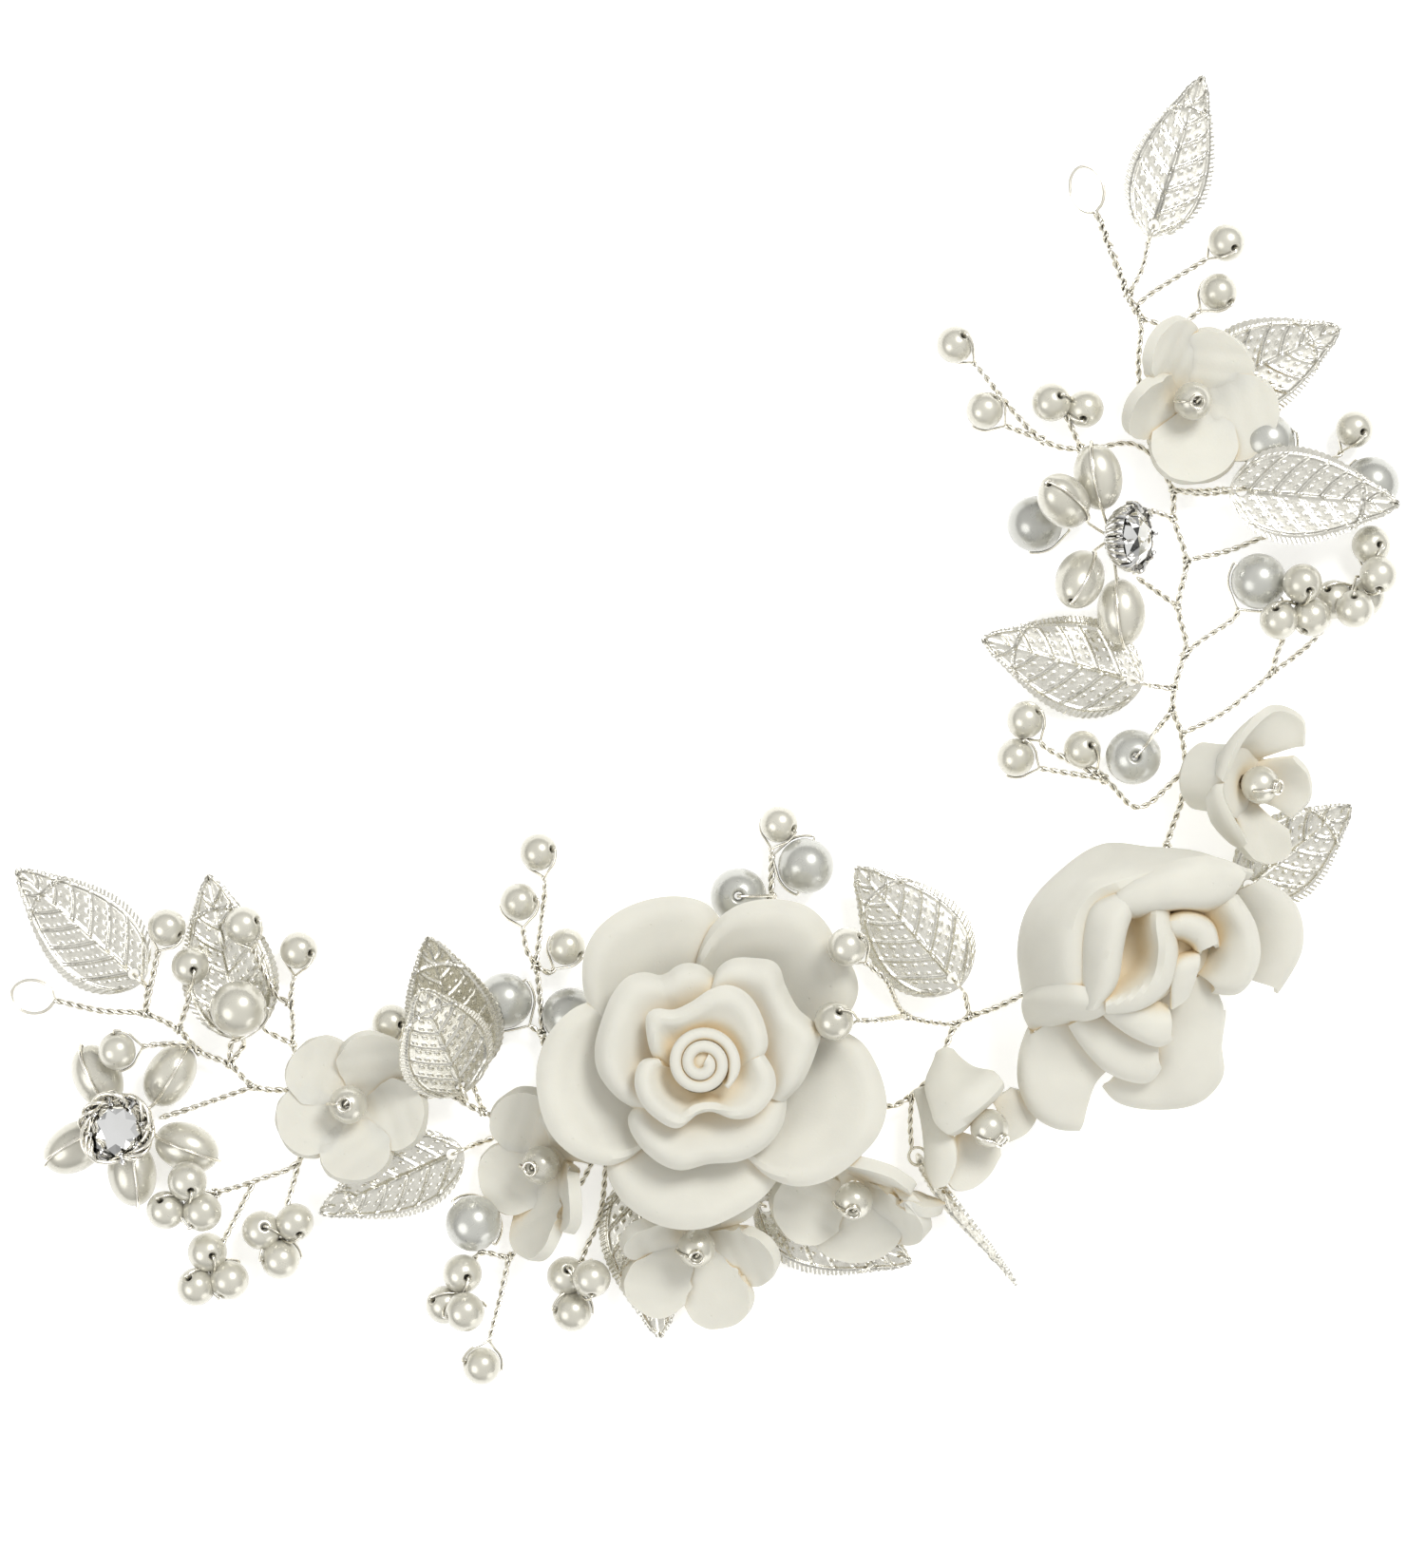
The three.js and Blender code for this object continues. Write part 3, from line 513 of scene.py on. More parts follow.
STEMS = {
    "left": [[-86.5, -35.6], [-80.1, -37], [-74.5, -37.4], [-70.1, -39.5], [-67.4, -42.3], [-63.3, -44.1],
             [-60.1, -47], [-54.5, -47.6, 2.4], [-46.4, -48.6, 2], [-38.3, -48.3, 2.4], [-34.2, -48]],
    "centre": [[-34.2, -48], [-29.8, -50.4], [-24.1, -51.6], [-13.3, -50.8], [-1.4, -49.5], [11.8, -49.5],
               [24.6, -49.6]],
    "right": [[24.6, -49.6], [26.9, -48.1], [29.9, -45.1], [31.3, -41.9], [32.6, -38.9], [34.5, -37.8],
              [38.3, -36.4], [45.5, -32.6], [53, -27], [58, -21.4], [60.5, -15], [61.6, -11.8],
              [62.5, -9.4]],
    "top": [[62.5, -9.4], [63, -5.1], [62.5, -0.4], [61.4, 2.8], [61.6, 5.6], [62.8, 9.9], [63.1, 11.6],
            [62.1, 16.4], [63.1, 22.5], [61.5, 28.1], [61.3, 31.8], [59, 36.3], [57.4, 42.4],
            [56.8, 48.6], [57.1, 54.5], [55.5, 57.5], [53.4, 63], [51.3, 68.5]],
}
PIN_LOOPS = {
    "left": {"at": (-89.4, -35.1), "half": (2.8, 2.2), "heading": -10, "mouth": (-86.4, -35.6)},
    "top": {"at": (50, 71.6), "half": (2.2, 3.1), "heading": 14, "mouth": (51.2, 68.6)},
}
# A single pearl's radius, its bore's tilt, its material, and its wire's route from its middle to a joint.
PEARL_SPRIGS = [
    (PEARL, 25, "ivory", [[-71.4, -25.9, 5.2], [-72.6, -28.9, 4.6], [-74.5, -37.4]]),
    (PEARL, 72, "ivory", [[-68.3, -31, 5.2], [-68.6, -35.1, 4.4], [-70.1, -39.5]]),
    (PEARL, 15, "ivory", [[-77.6, -42, 7.8], [-72.6, -41.2, 7.4], [-68.6, -41.4, 5.2], [-67.4, -42.3]]),
    (PEARL, 30, "ivory", [[-61.3, -25.6, 5.2], [-60.5, -27.6, 5], [-57, -35.1], [-55.4, -36.1],
                          [-54.9, -41.4], [-54.5, -47.6, 2.4]]),
    (PEARL, 40, "ivory", [[-54.2, -29], [-55.4, -36.1]]),
    (PEARL, 50, "ivory", [[-42, -38.6], [-42.4, -43], [-38.3, -48.3, 2.4]]),
    (PEARL, 20, "ivory", [[-25.1, -22.6], [-24.1, -28.9], [-22.9, -31.1], [-22, -40.1], [-21.6, -45.8],
                          [-24.1, -51.6]]),
    (PEARL, 35, "ivory", [[-22.5, -16], [-21.6, -20.1], [-22.9, -31.1]]),
    (PEARL, 25, "ivory", [[-18.8, -28.5], [-20.8, -32], [-22.9, -31.1]]),
    (LARGE, 30, "grey", [[-18.3, -37.6, 3.8], [-22, -40.1]]),
    (PEARL, 30, "ivory", [[9.3, -12.3], [8.4, -15.1], [8.3, -22], [9.6, -34], [11.8, -49.5]]),
    (PEARL, 20, "ivory", [[-30, -83.9], [-29.1, -80.8], [-27.6, -75.1], [-26.4, -69.4]]),
    (PEARL, 28, "ivory", [[17.8, -27.9, 20], [22.6, -32, 17.6], [26, -37.4, 8], [32.6, -38.9]]),
    (PEARL, 55, "ivory", [[16.1, -37.4, 20.2], [21.6, -37.4, 18.2], [26, -37.4, 8]]),
    (PEARL, 35, "ivory", [[41.9, 1.5], [44.3, -2], [52.4, -6.4, 2.6], [56.8, -10.1, 2.6], [63, -5.1]]),
    (PEARL, 20, "ivory", [[40.6, -3.5], [43.6, -4.9], [52.4, -6.4, 2.6]]),
    (PEARL, 60, "ivory", [[49.4, -2.4], [52.4, -6.4, 2.6]]),
    (PEARL, 50, "ivory", [[32.6, 51.1], [35.1, 48.6], [44.3, 38.4], [49.3, 37.2], [55.8, 38], [59, 36.3]]),
    (PEARL, 25, "ivory", [[36.5, 42.4], [39.5, 40.1], [44.3, 38.4]]),
    (PEARL, 55, "ivory", [[68.5, 64.6], [66.1, 62.6], [58.6, 57.9], [56.3, 56]]),
    (PEARL, 30, "ivory", [[67.4, 58], [64.9, 55.5], [61.8, 53.6], [57.1, 54.5]]),
    (PEARL, 62, "ivory", [[85.4, 39.9], [83.3, 36.4], [76, 33.4, 2.6], [66, 31.4, 2.8], [61.3, 31.8]]),
    (LARGE, 20, "grey", [[73.8, 38.2, 3.7], [76, 33.4, 2.6]]),
    (LARGE, 20, "grey", [[87.6, 32.6, 3.7], [80, 28, 3], [73, 25.5], [68.9, 23.9], [63.1, 22.5]]),
]
# Wires that end at a bunch, a rhinestone flower or another wire.
PLAIN_SPRIGS = [
    [[-59.7, -38.4, 4.4], [-58, -39.9], [-54.9, -41.4]],
    [[-72, -50.8, 7.6], [-69.5, -50.1, 6.6], [-60.1, -47]],
    [[-54.5, -47.6, 2.4], [-54.1, -56.6, 2.6], [-60.1, -59.5, 3], [-65, -60.9, 5.2]],
    [[-60.1, -59.5, 3], [-65.4, -69.8, 3.2]],
    [[-54.1, -56.6, 2.6], [-56.4, -64.9, 3.4]],
    [[-32.6, -72.6, 5], [-30.2, -69, 3.6], [-26.4, -69.4], [-22.9, -66, 2.4], [-17, -60, 1.6],
     [-13.3, -50.8]],
    [[-17.2, -71.8, 4.6], [-16.4, -68.8, 3], [-14.4, -64, 2.2], [-13.3, -50.8]],
    [[58.4, 29, 4.6], [61.5, 28.1]],
    [[56.6, 20.3, 3.4], [62.1, 16.4]],
    [[47.2, 41.6, 3.8], [49.3, 37.2]],
    [[76.9, 15.4, 7], [75.4, 11.4, 5], [74.9, 10, 4.4], [74.5, 7.6]],
    [[62.5, -0.4], [68, 2.4], [74.5, 7.6], [80.2, 12.2, 2.6], [84.6, 18.6, 3.6]],
]
LEAF_ROUTES = {
    1: [[-74.5, -37.4]],
    2: [[-63.3, -44.1]],
    3: [[-29.8, -50.4]],
    4: [[-33.2, -48.2]],
    5: [[-30.4, -54.6, 1.3], [-26.8, -53.2, 1.2], [-24.1, -51.6]],
    6: [[34.5, -37.8]],
    7: [[26.6, -52, 4.4], [26.9, -48.1]],
    8: [[6, -56, 2.2], [11.8, -49.5]],
    9: [[-11, -54, 2.4], [-13.3, -50.8]],
    10: [[64, -18.4, 2.4], [60.5, -15]],
    11: [[61.6, 5.6]],
    12: [[65, 31.6, 5.2], [61.3, 31.8]],
    13: [[62.6, 40, 2.4], [57.4, 42.4]],
    14: [[57.4, 61.4], [55.5, 57.5]],
}
# Where each loose large pearl's foot points, its material, and the wire's route from there.
LARGE_ROUTES = {
    1: ([-0.2, -1, -0.5], "ivory", [[-63, -41, 3.8], [-63.3, -44.1]]),
    2: ([0.7, -0.7, 0], "grey", [[-22, -40.1]]),
    3: ([-0.6, -0.8, 0], "grey", [[8.3, -22]]),
    4: ([1, 0, 0], "grey", [[8.3, -22]]),
    5: ([0.6, 0.6, -0.6], "grey", [[-26.4, -57.4, 1], [-24.1, -51.6]]),
    6: ([0.66, 0.75, 0], "grey", [[61.4, 2.8]]),
    7: ([-0.6, -0.8, 0], "grey", [[69.6, 15.1], [64.5, 11.5], [62.8, 9.9]]),
}
FLOWER_ROUTES = {
    1: [[-46.4, -48.6, 2]],
    2: [[-13.3, -50.8], [-17, -54, 3]],
    3: [[11.8, -49.5], [4.5, -56, 2.6], [-1, -63, 2.6]],
    4: [[11.8, -49.5], [17.4, -54.4, 3.6]],
    5: [[29.9, -45.1], [31.4, -46.8, 5.4]],
    6: [[63, -5.1], [64.4, -5.6, 5]],
    7: [[57.4, 42.4], [61, 43.4, 2.6]],
}
BUNCHES = {
    "pearl_trio_1": [[-68.4, -59.1, 7.6], [-71.4, -63, 6.4], [-66.6, -63.2, 6.4]],
    "pearl_trio_2": [[-66.3, -68.9, 3], [-67.8, -73.5, 3], [-63.4, -72.6, 3]],
    "pearl_trio_3": [[-59.2, -66, 3], [-54.7, -64.9, 3.4], [-56.6, -69.9, 3]],
    "pearl_trio_4": [[-32.5, -71.6, 4.6], [-34.9, -75.8, 3.4], [-32, -76.3, 7.2]],
    "pearl_trio_5": [[-18.8, -72, 3.4], [-15.4, -72, 6.6], [-18, -76.7, 4]],
    "pearl_trio_6": [[77.8, 19.3, 8.4], [74.8, 14.5, 7.6], [79.2, 15, 6.6]],
    "pearl_bunch": [[87.6, 24.6, 3.2], [88.2, 20.5, 5.6], [86.9, 17.6, 2.6], [84.9, 16, 6.6],
                    [82.6, 17.4, 3]],
    "pearl_pair": [[45.2, 43.4, 4.4], [49.7, 42.6, 3.4]],
}
PAINT = {"ivory": IVORY_PEARL, "grey": GREY_PEARL}


def pin_loop(at, half, heading, mouth):
    """One strand round an oval, from the mouth, where the twist begins, and back to it."""
    turn = np.radians(heading)
    centre, start = vec(at), vec(mouth)
    bearing = np.arctan2(*(start - centre)[[1, 0]])
    ring = []
    for a in np.radians(np.arange(14, 347, 9.0)) + bearing - turn:
        x, y = half[0] * np.cos(a), half[1] * np.sin(a)
        ring.append(centre + [x * np.cos(turn) - y * np.sin(turn), x * np.sin(turn) + y * np.cos(turn), 0])
    return strand([start, *ring, start], STRAND * 1.1)


def neck_coil(route, points=150, turns=9):
    """A tighter coil over the neck below a pin loop."""
    neck = smooth(route, points)
    coil = []
    for i, (q, d) in enumerate(zip(neck, np.gradient(neck, axis=0))):
        u = across([0.1, 0.2, 1], d)
        v = np.cross(unit(d), u)
        a = 2 * np.pi * i / points * turns
        coil.append(q + 0.5 * toward(a, u, v))
    return tube(coil, STRAND * 0.8, 6)


def build_stems():
    for name, route in STEMS.items():
        shape = Shape().add_pair(vecs(route), radius=STRAND * 1.1)
        if name in PIN_LOOPS:
            shape.add(*pin_loop(**PIN_LOOPS[name]))
        if name == "top":
            shape.add(*neck_coil(vecs(route[-4:])))
        piece(f"stem_{name}", shape, WIRE_SILVER, replaces=f"stem_wire_{name}")


def sprig(route):
    """A twisted pair along a route of points, with a turn of wire where it joins at its last point."""
    shape = Shape().add_pair(route, start=rng.uniform(0, 6))
    shape.add(*joint_wrap(route[-1], np.cross(route[-1] - route[-2], [0, 0, 1])))
    return shape


def build_pearl_sprigs():
    for i, (radius, tilt, paint, route) in enumerate(PEARL_SPRIGS, 1):
        pts = vecs(route)
        centre = pts[0]
        foot = unit(pts[1] - centre)
        bore = tilted_bore(foot, tilt)
        start = centre + foot * (radius + 0.85)
        rest = [p for p in pts[1:-1] if np.linalg.norm(p - centre) > radius + 1.4] + [pts[-1]]
        shape = sprig([start, *rest])
        shape.add(*bead_wire(centre, radius, bore, foot))
        piece(f"sprig_{i}", shape, WIRE_SILVER)
        ball = Shape().add(*placed(bead(radius), bore, centre))
        piece(f"pearl_{i}", ball, PAINT[paint])
    for i, route in enumerate(PLAIN_SPRIGS, 1):
        shape = sprig(vecs(route))
        piece(f"branch_{i}", shape, WIRE_SILVER)


def build_bunches():
    for name, centres in BUNCHES.items():
        pts = vecs(centres)
        hub = np.mean(pts, axis=0)
        threads = Shape()
        for i, centre in enumerate(pts, 1):
            foot = unit(hub - centre + [0, 0, -0.6])
            bore = tilted_bore(foot, 25 + 22 * ((i * 2) % 3))
            radius = BUNCHED * (0.97 + 0.03 * (i % 2))
            ball = Shape().add(*placed(bead(radius), bore, centre))
            piece(f"{name}_{i}", ball, IVORY_PEARL, replaces=name)
            threads.add(*bead_wire(centre, radius, bore, foot))
        piece(f"{name}_wire", threads, WIRE_SILVER)


def build_large_pearls():
    for i, (down, paint, route) in LARGE_ROUTES.items():
        name = f"large_pearl_{i}"
        low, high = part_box(name)
        centre = (np.array(low) + np.array(high)) / 2 / MM - SHIFT
        bore = unit(joints[f"{name}_spin"]["axis"])
        foot = across(down, bore)
        body = joints[f"{name}_spin"]["child"]
        ball = Shape().add(*placed(bead(LARGE, bore=0.55, around=40, rings=24), bore, centre))
        piece(f"{name}_bead", ball, PAINT[paint], body, replaces=name)
        start = centre + foot * (LARGE + 0.9)
        shape = sprig([start, *vecs(route)])
        shape.add(*bead_wire(centre, LARGE, bore, foot))
        piece(f"{name}_wire", shape, WIRE_SILVER)


# ---------------------------------------------------------------- leaves
LEAF_HOLE = 0.75  # radius
LEAF_INSET = 1.6  # from the base end to the hole's middle
LEAF_THICKNESS = 0.32
LEAF_RING = 1.2  # radius of the wire ring through the hole
VEIN_SPACING = 3.1


def line(d, width):
    """The height, from 0 to 1, of a rounded raised line at distance d from its middle."""
    return np.exp(-((d / width) ** 2))


def leaf_outline(x, length, width):
    """Half the width of the blade at x, measured from its base end."""
    s = np.clip(x / length, 0, 1)
    body = np.sin(np.pi * s**0.72) ** 0.78 * (1 - 0.28 * s**3)
    tip = 0.10 * np.exp(-(((s - 0.93) / 0.05) ** 2))
    return width / 2 * (body * 1.02 + tip * (1 - s) * 4)


def leaf_relief(x, y, half, length, side_shift):
    """The stamped pattern: a midrib, side veins that close into cells, dashes, and a hatched margin."""
    reach = np.abs(y) / np.maximum(half, 0.3)  # 0 on the midrib, 1 at the edge
    mirrored = np.where(y > 0, side_shift, 0.0)
    rib = 0.32 * line(y, 0.24) * np.clip(1.15 - x / length, 0.3, 1)
    lean = x - 0.62 * np.abs(y) - 1.5 * reach**2.2 + mirrored
    cell = lean / VEIN_SPACING
    offset = (cell - np.round(cell)) * VEIN_SPACING
    inside = np.clip((0.86 - reach) / 0.06, 0, 1)
    vein = 0.24 * line(offset, 0.21) * inside
    border = 0.22 * line((reach - 0.84) * half, 0.2) * (x > 1.2)
    middle = np.abs(np.abs(offset) - VEIN_SPACING * 0.26)
    gate = np.sin(2 * np.pi * (np.abs(y) / 1.05 + np.round(cell) * 0.37))
    dash = 0.18 * line(middle, 0.18) * np.clip(gate * 2.2, 0, 1) * np.clip((0.76 - reach) / 0.05, 0, 1)
    hatch = 0.13 * (0.5 + 0.5 * np.sin(2 * np.pi * (x - 0.5 * np.abs(y)) / 0.62))
    margin = hatch * np.clip((reach - 0.86) / 0.05, 0, 1)
    arc = 0.24 * line(x - length * 0.80 + 0.10 * y**2, 0.20) * (reach < 0.98)
    return (rib + vein + border + dash * (1 - line(y, 0.5)) + margin + arc) * np.clip((x - 0.2) / 1.2, 0, 1)


def leaf_body(length, width, side_shift, curl):
    """A stamped leaf along +X, its hole at the origin and its face towards +Z."""
    cols, rows = int(length / 0.15), 2 * int(width / 0.24) + 1
    xs = np.linspace(0.02, length, cols)
    serration = 0.22 * (1 - 2 * np.abs((xs / 0.85) % 1 - 0.5)) * np.clip(xs / 3, 0, 1)
    half = leaf_outline(xs, length, width) + serration
    v = np.linspace(-1, 1, rows)
    x = np.repeat(xs[None], rows, axis=0)
    y = v[:, None] * half[None]
    z = leaf_relief(x, y, np.maximum(leaf_outline(x, length, width), 0.2), length, side_shift)
    x = x - LEAF_INSET + 0.35 * np.abs(v[:, None]) ** 2 * np.clip(x / length, 0, 1)
    far = np.hypot(x, y)  # points near the hole are drawn to its rim, to make it round
    pull = np.where((far < LEAF_HOLE + 0.12) & (far > 1e-6), LEAF_HOLE / np.maximum(far, 1e-6), 1.0)
    x, y = x * pull, y * pull
    shape_z = z + curl[0] * (y / width) ** 2 * 4 + curl[1] * ((x + LEAF_INSET) / length) ** 2
    centre_x = (x[:-1, :-1] + x[1:, 1:]) / 2
    centre_y = (y[:-1, :-1] + y[1:, 1:]) / 2
    keep = np.hypot(centre_x, centre_y) > LEAF_HOLE * 0.97
    top = np.stack([x, y, shape_z], axis=2).reshape(-1, 3)
    under = top - [0, 0, LEAF_THICKNESS]
    n = len(top)
    idx = np.arange(rows * cols).reshape(rows, cols)
    quads = np.stack([idx[:-1, :-1], idx[:-1, 1:], idx[1:, 1:], idx[1:, :-1]], axis=2)[keep]
    edges = {}  # the edges of only one face, which the side walls stand on
    for q in quads.tolist():
        for a, b in zip(q, q[1:] + q[:1]):
            if (b, a) in edges:
                del edges[(b, a)]
            else:
                edges[(a, b)] = True
    faces = quads.tolist() + (quads[:, ::-1] + n).tolist()
    faces += [[b, a, a + n, b + n] for a, b in edges]
    used = np.unique(np.array([i for f in faces for i in f]))
    new = np.full(2 * n, -1)
    new[used] = np.arange(len(used))
    return np.vstack([top, under])[used], [[int(new[i]) for i in f] for f in faces]


# How far each leaf is curled, across its width and along its length, and how its two sides are staggered.
LEAF_SHAPE = {
    1: (0.5, 0.3, 1.2), 2: (0.4, 0.2, 0.6), 3: (-0.1, 0.8, 1.0), 4: (-0.3, 0.8, 0.3), 5: (0.5, 0.4, 1.4),
    6: (-0.9, 0.3, 1.1), 7: (0.6, 0.4, 0.8), 8: (-0.5, -0.1, 1.2), 9: (-0.7, -0.8, 0.2), 10: (0.5, 0.5, 1.3),
    11: (-0.6, 0.4, 0.9), 12: (0.3, 0.5, 0.5), 13: (0.6, 0.5, 1.1), 14: (-0.7, 0.5, 0.7),
}


def build_leaves():
    for i, (cup, bend, stagger) in LEAF_SHAPE.items():
        joint = joints[f"leaf_{i}_swing"]
        hole = np.array(joint["pos_m"]) / MM - SHIFT
        normal = unit(joint["axis"])
        if normal[2] < 0:
            normal = -normal
        pts = np.array([v.co for v in frame["nodes"][f"leaf_{i}"].data.vertices], float) / MM - SHIFT - hole
        along = across(pts.mean(axis=0), normal)
        side = np.cross(normal, along)
        length = (pts @ along).max() + LEAF_INSET
        width = np.ptp(pts @ side)
        verts, faces = leaf_body(length, width, stagger, (cup, bend))
        verts = verts @ np.array([along, side, normal]) + hole + normal * 0.05
        shape = Shape().add(verts, faces)
        piece(f"leaf_{i}_blade", shape, LEAF_SILVER, joint["child"],
              replaces=f"leaf_{i}", crease=50)
        ring = []
        for a in np.radians(np.arange(0, 361, 20)):
            ring.append(hole + along * LEAF_RING * (np.cos(a) - 1) + normal * LEAF_RING * np.sin(a))
        start = hole - along * 2.4
        wire = sprig([start, *vecs(LEAF_ROUTES[i])])
        wire.add(*strand(ring[9:] + ring[1:10], STRAND, 0.3))
        piece(f"leaf_{i}_wire", wire, WIRE_SILVER)


# ---------------------------------------------------------------- small flowers
def small_petal(length, width, lift, twist, cup, fold, neck, thick=1.6, rows=15, cols=37):
    """A petal that starts beside the axis and runs along +X: a narrow base that widens to a round tip."""
    a = np.linspace(-1, 1, cols)
    t = np.linspace(0, 1, rows)[:, None]
    turn = np.radians(116) * a
    tip = width / 2
    deep = tip * 0.88
    square = 0.92  # under 1, the rim is a little squarer than an ellipse
    rim_x = length - deep + deep * np.sign(np.cos(turn)) * np.abs(np.cos(turn)) ** square
    rim_y = tip * np.sign(a) * np.abs(np.sin(turn)) ** square
    base_x = neck + 0.25 * (1 - a**2)
    base_y = neck * 0.8 * a
    x = base_x + (rim_x - base_x) * t
    y = base_y + (rim_y - base_y) * t
    share = x / length
    z = cup * share**2 + fold * (y / tip) ** 2 * np.clip(share, 0, 1) + 0.05 * np.sin(2.1 * x + 1.3 * y)
    spin = np.radians(twist) * np.clip(share * 1.6, 0, 1)
    y, z = y * np.cos(spin) - z * np.sin(spin), y * np.sin(spin) + z * np.cos(spin)
    up = np.radians(lift)
    out = x - neck
    x, z = neck + out * np.cos(up) - z * np.sin(up), out * np.sin(up) + z * np.cos(up)
    return sheet(np.stack([x, y, z], axis=2), thick * (0.66 + 0.34 * t) + 0 * a)


# Azimuth, lift and twist of each petal, then its length and width where they are not its flower's own.
FLOWERS = {
    1: {"length": 10.4, "width": 9.6, "cup": 0.9, "fold": 0.6, "neck": 1.3,
        "petals": [(134, 8, 2), (63, 10, 17), (-12, 8, 5), (-84, 9, -2), (201, 8, 3)]},
    2: {"length": 10.8, "width": 9.8, "cup": 1.2, "fold": 0.8, "neck": 1.4,
        "petals": [(204, 12, -4), (122, 14, 4), (48, 20, 10), (-42, 34, 26, 11.6, 8.4),
                   (-96, 16, 26, 13.6, 9.4)]},
    3: {"length": 11.6, "width": 8.8, "cup": 1.0, "fold": 0.6, "neck": 1.4,
        "petals": [(168, 22, -26, 10.6, 8), (-130, 11, 3, 12.6, 9), (-70, 10, 8, 13, 9.2), (-14, 16, 18),
                   (60, 12, 4)]},
    4: {"length": 11.6, "width": 10.6, "cup": 1.2, "fold": 0.7, "neck": 1.4,
        "petals": [(202, 14, 8), (-88, 6, 0, 11, 12.6), (-24, 18, 30), (-2, 16, 66, 12.2, 7.6),
                   (56, 40, 6)]},
    7: {"length": 11, "width": 11.6, "cup": 1.0, "fold": 0.5, "neck": 1.5,
        "petals": [(116, 24, 24, 12, 9.4), (52, 9, 3, 10.2), (-18, 8, 4, 12.4), (-82, 10, 3, 11.2),
                   (186, 22, -34, 9.8, 9.4)]},
}
# The clay behind a flower, from its hole round the back: a small boss, or a shank.
BOSS = [[1, 0.75], [2, 0.6], [2.7, -0.1], [2.1, -0.8], [1, -0.95]]
SHANK = [[1, 1.2], [3.4, 1.7], [4.9, 1.5], [5.1, 0.6], [4.7, -1.4], [4.5, -3.6], [4.5, -5.6], [4, -6.2],
         [1, -6.2]]
# Flowers 5 and 6 lie over on their sides: their petals' curves, from base to rim, as they look from above.
LYING_FLOWERS = {5: {
    "back": [
        [(30.2, -43, 6.6), (31.1, -42.2, 7), (32.2, -42.6, 6.8)],
        [(28.6, -46.6, 9.4), (31.6, -45.4, 10.8), (34.8, -44.4, 9.8)],
        [(29.4, -50, 12), (32.8, -47.4, 13.6), (36.6, -44.8, 12.6)],
        [(30.1, -51.9, 13.4), (34, -48.2, 15), (37.8, -45, 14)],
        [(31.6, -53, 13.5), (35.2, -49.6, 15), (38.7, -46.2, 14.2)],
        [(32.8, -52.8, 11.4), (35.4, -50, 11.6), (38.3, -47.4, 11.4)]],
    "left": [
        [(29.4, -47.4, 8), (28.2, -47.2, 7.6), (27.1, -47.4, 7)],
        [(30.6, -50.2, 10.4), (29.2, -50.4, 9.4), (28, -50.6, 8.2)],
        [(32.4, -54, 11.8), (30.4, -54.4, 11), (28.5, -54.8, 9.4)],
        [(32.6, -57, 11.4), (30.6, -57.8, 10.8), (28.6, -58.2, 9.6)],
        [(31.6, -59.4, 10.8), (30.6, -60, 10.6), (29.6, -60, 10)]],
    "bottom": [
        [(32.8, -52.6, 9.4), (35.4, -53.2, 8.8), (38, -52.4, 8.8)],
        [(31.4, -56.2, 9.6), (35, -56.8, 9), (38.4, -55.2, 8.8)],
        [(30.9, -58.6, 9.9), (32.4, -60.4, 9.9), (34.8, -60.2, 9.6), (37, -58.4, 9.2), (38.5, -55.8, 8.9)]],
    "right": [
        [(37, -48.4, 9.6), (38.2, -50.6, 8.8), (37.6, -53.4, 8.8)],
        [(39.2, -47.4, 9.4), (41, -50.4, 8.4), (39.4, -53.4, 8.4)],
        [(39.8, -46.9, 9.4), (42.4, -48, 8.8), (43.2, -50.2, 8.2), (41.9, -52.6, 7.9), (39.3, -54, 8)]],
}, 6: {
    "top": [
        [(66.8, -6.4, 10.6), (67.4, -4.2, 10), (69, -3, 9), (71, -3.8, 7.6)],
        [(67, -6, 12.6), (68.4, -2.4, 12.2), (71.6, -0.8, 11), (75, -2.6, 9.4)],
        [(67.3, -6.2, 14), (69.8, -0.6, 14), (73.6, 2.2, 13), (77.2, 1, 11.2), (77.6, -2, 9.8)],
        [(67.7, -6.7, 14.4), (70.6, -0.4, 14.6), (74.4, 3, 13.6), (78.2, 1.4, 11.6), (78.4, -2, 10.2)]],
    "right": [
        [(71, -4.2, 7.6), (71.8, -6.6, 7), (71.2, -9, 7.4)],
        [(74.4, -3.6, 8.8), (75.8, -7, 8.2), (74.4, -10, 8.2)],
        [(77, -3.4, 10.4), (78.9, -5.6, 9.9), (79.1, -9, 9.4), (76.6, -11.6, 9)]],
    "bottom": [
        [(71.2, -9, 7.6), (69.6, -10, 8.6), (68.2, -9.6, 9.8)],
        [(73.8, -11.2, 8.4), (71.8, -13, 8.6), (69.6, -12.8, 9.8)],
        [(76.4, -13, 8.6), (76.5, -16, 8.4), (74.2, -17.5, 8.6), (71.6, -17, 9.2), (69.8, -15.2, 10.2)]],
    "near": [
        [(68.8, -10, 8.6), (67.2, -9.2, 9.6), (66.4, -7.2, 10.4)],
        [(69, -14.4, 8.6), (66.6, -11.6, 9.8), (65.9, -8.4, 11)],
        [(70.2, -15.2, 11), (68.2, -11.8, 12.6), (67, -8.8, 13.4), (67, -7, 13.6)],
        [(70.9, -14.6, 11.6), (69, -11.2, 13), (67.8, -8.4, 13.8), (67.8, -6.9, 14)]],
}}


